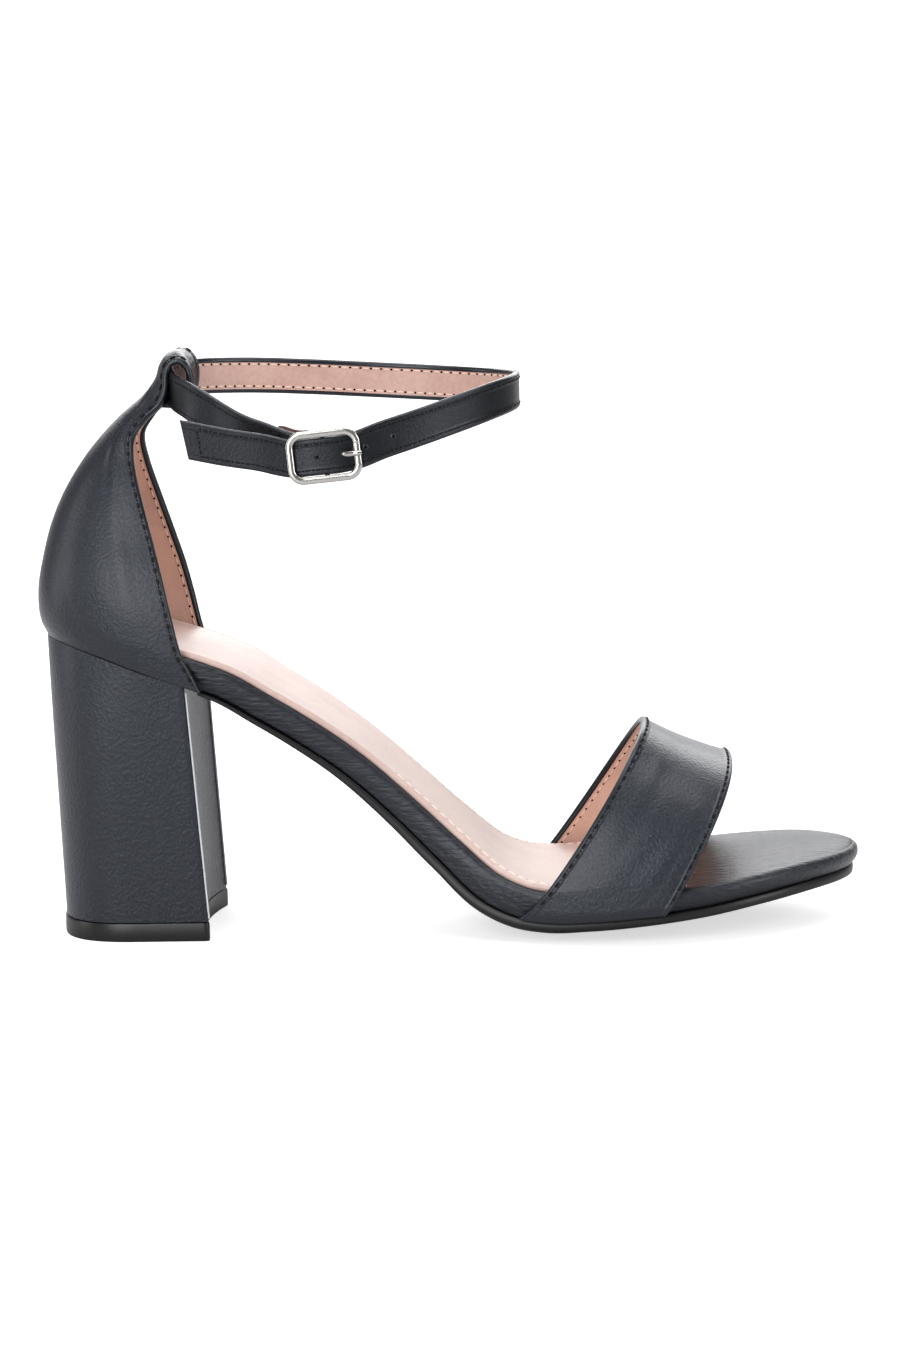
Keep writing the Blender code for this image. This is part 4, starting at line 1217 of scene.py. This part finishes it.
for share in np.linspace(0, 1, 24):
    place = 4 + int(share * 19)
    foot = strap_mid[place] + strap_high[place] * (STRAP_WIDTH / 2 - 0.0012)
    top = foot + strap_high[place] * (0.0019 + 0.0002 * math.sin(9 * share))
    thin = strap_out[place] * 0.0006
    cut_rows.append([foot - thin, foot + thin, top + thin * 0.8, top - thin * 0.8])
cut_edge = skin("strap_fold_cut_edge", np.array(cut_rows), [raw_edge])
print("holes:", len(HOLE_SPOTS), "cut edge:", size_of(cut_edge))

# %% [markdown]
# ## Buckle
# A cast frame with rounded corners, a thin middle bar behind it, and a prong with a bent root that
# comes up through the strap's hole and rests on the frame. All three are wires: a section swept along a
# line. A curve's bevel does that too, but here the section can be squarer or thinner along the way.

# %% Wires
def tube(name, line, width, depth, made_of, sides, closed=False, high=(0, 1, 0), square=1.0):
    """A wire along a line. width lies across high, depth along high. square: below 1 squarer, 1 oval."""
    run = np.gradient(line, axis=0)
    if closed:
        run = np.roll(line, -1, axis=0) - np.roll(line, 1, axis=0)
    run = unit(run)
    high = np.asarray(high, float)[None, :] + 0 * run
    high = unit(high - np.sum(high * run, axis=1, keepdims=True) * run)
    turns = np.linspace(0, 2 * np.pi, sides, endpoint=False)
    wide, deep = (np.sign(wave) * abs(wave) ** square / 2 for wave in (np.cos(turns), np.sin(turns)))
    ring = np.cross(run, high)[:, None, :] * wide[:, None] * np.reshape(width, (-1, 1, 1))
    ring = ring + high[:, None, :] * deep[:, None] * np.reshape(depth, (-1, 1, 1))
    rings = line[:, None, :] + ring
    if closed:
        rings = np.concatenate([rings, rings[:1]], axis=0)
    return skin(name, rings, [made_of], sharp=None if closed else 60)


def rounded_rectangle(length, height, corner):
    points = []
    for turn, (sx, sz) in enumerate(((1, 1), (-1, 1), (-1, -1), (1, -1))):
        centre = (sx * (length / 2 - corner), sz * (height / 2 - corner))
        for angle in np.radians(90 * turn + np.linspace(0, 90, 40)):
            points.append((centre[0] + corner * math.cos(angle), centre[1] + corner * math.sin(angle)))
    return even_loop(np.array(points), 240)


print("points of a frame:", len(rounded_rectangle(BUCKLE_LENGTH, BUCKLE_HEIGHT, BUCKLE_CORNER)))

# %% [markdown]
# The frame's wire is a little flat, as cast buckles are. The middle bar is bent forward at both ends to
# meet the frame. A straight pin would cut through the strap, so the prong's line is a smooth curve
# through seven places in front of the bar.

# %% Buckle
frame_corner = BUCKLE_CORNER - BUCKLE_BAR / 2
frame_loop = rounded_rectangle(BUCKLE_LENGTH - 0.0021, BUCKLE_HEIGHT - 0.0023, frame_corner)
frame_line = np.array([at_buckle(x, FRAME_DEPTH, z) for x, z in frame_loop])
frame_section = (BUCKLE_BAR * 1.05, BUCKLE_BAR * 0.76)
buckle = tube("buckle_frame_metal", frame_line, *frame_section, buckle_metal, 32, closed=True, square=0.8)
pin = 2 * PIN_RADIUS
reach = STRAP_WIDTH / 2 + GAP + PIN_RADIUS
bar_corners = [(FRAME_DEPTH, reach), (0.0006, reach), (0.0, reach - 0.0006)]
bar_corners += [(depth, -z) for depth, z in bar_corners[::-1]]
bar_line = np.array([at_buckle(0.0, depth, z) for depth, z in bar_corners])
bar = tube("buckle_middle_bar", bar_line, pin, pin, buckle_metal, 12, high=(1, 0, 0))
frame_face = FRAME_DEPTH + BUCKLE_BAR / 2
# forward of the bar, outward, width
prong_table = np.array((
    (0.0018, 0.0002, 1.0),
    (0.0030, 0.0016, 1.0),
    (0.0042, BAR_DEPTH - 0.0006, 1.0),
    (0.0056, BAR_DEPTH + STRAP_THICK / 2 + 0.0006, 1.15),
    (0.0078, frame_face + 0.0004, 1.1),
    (0.0092, frame_face + 0.0007, 1.0),
    (0.0101, frame_face + 0.0006, 0.8),
))
prong_steps = np.linspace(0, 1, len(prong_table))
forward, outward, wide = (smooth(np.linspace(0, 1, 60), prong_steps, column) for column in prong_table.T)
prong_line = np.array([at_buckle(*place) for place in zip(forward, outward)])
prong_wide = pin * wide
prong = tube("buckle_prong_metal", prong_line, prong_wide, prong_wide, buckle_metal, 16, high=(0, 0, 1))
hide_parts("buckle_frame")
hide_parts("buckle_prong")
print("buckle:", size_of(buckle))

# %% [markdown]
# ## Painted highlights beside the breast
# Just inside each corner of the hollow breast runs a thin bright upright line. It is a painted highlight:
# a pale grey wire stands in for the light caught along the corner of the heel's cover. A colour on the
# heel's own faces would be as wide as a face, so each line is a thin wire on the breast.

# %% Painted highlight wires beside the breast
HIGHLIGHT_SHARES = (0.026, 0.974)
HIGHLIGHT_WIDTH, HIGHLIGHT_DEPTH, HIGHLIGHT_PROUD = 0.0009, 0.0006, 0.0001
# pale grey wires: a painted highlight along each corner of the breast, not a part of the heel
painted_corner_highlight = finish("painted_highlight_heel_corners", "#c2c5ca", 0.45)[0]
highlight_ups = np.linspace(0.012, 0.975, 50)
for index, share in enumerate(HIGHLIGHT_SHARES):
    highlight_line = []
    for up in highlight_ups:
        x, y = heel_plan(np.array([1.0]), np.array([share]), up)
        highlight_line.append((x[0] + HIGHLIGHT_PROUD, y[0], mix(LIFT_THICK + GAP, seat_z(x)[0], up)))
    highlight_name = f"heel_cover_seam_{index}"
    highlight_line = np.array(highlight_line)
    highlight_wire = tube(highlight_name, highlight_line, HIGHLIGHT_WIDTH, HIGHLIGHT_DEPTH, painted_corner_highlight, 14, high=(1, 0, 0))
print("seam height:", round(highlight_wire.dimensions.z, 4))

# %% [markdown]
# ## Studio
# The photo was taken on white, with soft shadows right under the shoe. A single plane would show its far
# edge, so the floor curves up behind. It glows a little for the camera only, which keeps it white
# without lighting the shoe from below.

# %% Floor
FLOOR_GLOW = 0.62
floor_finish, tree, surface = finish("pale_studio_floor", "#d2d2d4", 0.75, emission_color=(1, 1, 1, 1))
seen = node(tree, "ShaderNodeLightPath").outputs["Is Camera Ray"]
glow = node(tree, "ShaderNodeMath", {0: seen, 1: FLOOR_GLOW}, operation="MULTIPLY")
tree.links.new(glow.outputs[0], surface.inputs["Emission Strength"])
floor_profile = [(-2.0, 0.0), (0.6, 0.0)]
for turn in np.linspace(0, np.pi / 2, 20):
    floor_profile.append((0.9 + 0.7 * math.sin(turn), 0.7 - 0.7 * math.cos(turn)))
floor_profile.append((1.6, 3.0))
rows = np.array([[(x, y, z) for y, z in floor_profile] for x in (-4.0, 4.0)])
count = len(floor_profile)
quads = [(i, i + 1, count + i + 1, count + i) for i in range(count - 1)]
floor_mesh = bpy.data.meshes.new("studio_floor")
floor_mesh.from_pydata([tuple(p) for p in rows.reshape(-1, 3)], [], quads)
floor_mesh.materials.append(floor_finish)
floor_mesh.shade_smooth()
floor = put_object("studio_floor", floor_mesh)
print("floor:", size_of(floor))

# %% [markdown]
# Black leather shows lights more than it shows its own colour. Small lamps would leave hard spots, so
# large softboxes stand overhead, at the front left, behind and at both sides. A dim white room fills the
# rest, and it is brighter for the camera than for the shoe.

# %% Lights
ROOM_LIGHT, ROOM_SEEN = 0.30, 1.0
scene = bpy.context.scene
world = bpy.data.worlds.new("soft_white_room")
world.use_nodes = True
tree = world.node_tree
room = tree.nodes["Background"]
room.inputs["Color"].default_value = (1.0, 1.0, 1.0, 1.0)
seen = node(tree, "ShaderNodeLightPath").outputs["Is Camera Ray"]
glow = node(tree, "ShaderNodeMapRange", {"Value": seen, "To Min": ROOM_LIGHT, "To Max": ROOM_SEEN})
tree.links.new(glow.outputs["Result"], room.inputs["Strength"])
scene.world = world
scene.view_settings.view_transform = "Standard"


def softbox(name, place, aim, size, power):
    data = bpy.data.lights.new(name, "AREA")
    data.shape = "RECTANGLE"
    data.size, data.size_y = size
    data.energy = power
    lamp = put_object(name, data)
    lamp.location = place
    way = Vector(aim) - Vector(place)
    lamp.rotation_euler = way.to_track_quat("-Z", "Y").to_euler()
    return lamp


softbox("overhead_softbox", (0.10, -0.05, 1.10), (0.09, 0.0, 0.05), (1.0, 0.7), 8.6)
softbox("front_left_softbox", (-0.35, -1.10, 0.45), (0.05, 0.0, 0.07), (0.45, 1.0), 11.0)
backlight = softbox("back_softbox", (0.15, 1.20, 0.75), (0.10, 0.0, 0.03), (1.6, 0.7), 14.0)
backlight.visible_camera = False
softbox("right_softbox", (0.95, -0.55, 0.40), (0.12, 0.0, 0.04), (0.30, 0.7), 5.0)
softbox("left_softbox", (-1.0, -0.12, 0.32), (0.0, 0.0, 0.07), (0.45, 0.9), 3.4)
print("lights:", len(bpy.data.lights))

# %% [markdown]
# The photo was taken with a long lens from a little above, with the camera turned a little and not quite
# level. The camera could be aimed with a constraint, but a roll needs its own angle, so its matrix is
# worked out from the three angles.

# %% Camera
CAMERA_TARGET = (0.0892, 0.0, 0.069)
CAMERA_DISTANCE, CAMERA_TURN, CAMERA_RISE, CAMERA_ROLL = 0.935, 2.3, 7.7, -1.2


def camera_matrix():
    turn, rise, roll = (math.radians(v) for v in (CAMERA_TURN, CAMERA_RISE, CAMERA_ROLL))
    back = Vector((math.sin(turn) * math.cos(rise), -math.cos(turn) * math.cos(rise), math.sin(rise)))
    level = Vector((math.cos(turn), math.sin(turn), 0.0))
    top = back.cross(level)
    right = level * math.cos(roll) + top * math.sin(roll)
    up = -level * math.sin(roll) + top * math.cos(roll)
    matrix = Matrix((right, up, back)).transposed().to_4x4()
    matrix.translation = Vector(CAMERA_TARGET) + back * CAMERA_DISTANCE
    return matrix


camera_data = bpy.data.cameras.new("product_camera")
camera_data.lens = 90
camera_data.sensor_width = 36
camera_data.sensor_fit = "AUTO"
camera_data.clip_start = 0.01
camera = put_object("product_camera", camera_data)
camera.matrix_world = camera_matrix()
scene.camera = camera
print("camera at:", [round(v, 3) for v in camera.matrix_world.translation])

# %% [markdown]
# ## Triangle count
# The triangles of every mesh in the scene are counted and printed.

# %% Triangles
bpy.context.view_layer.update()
meshes = [item.data for item in bpy.data.objects if item.type == "MESH"]
print("triangles:", sum(len(face.vertices) - 2 for mesh in meshes for face in mesh.polygons))
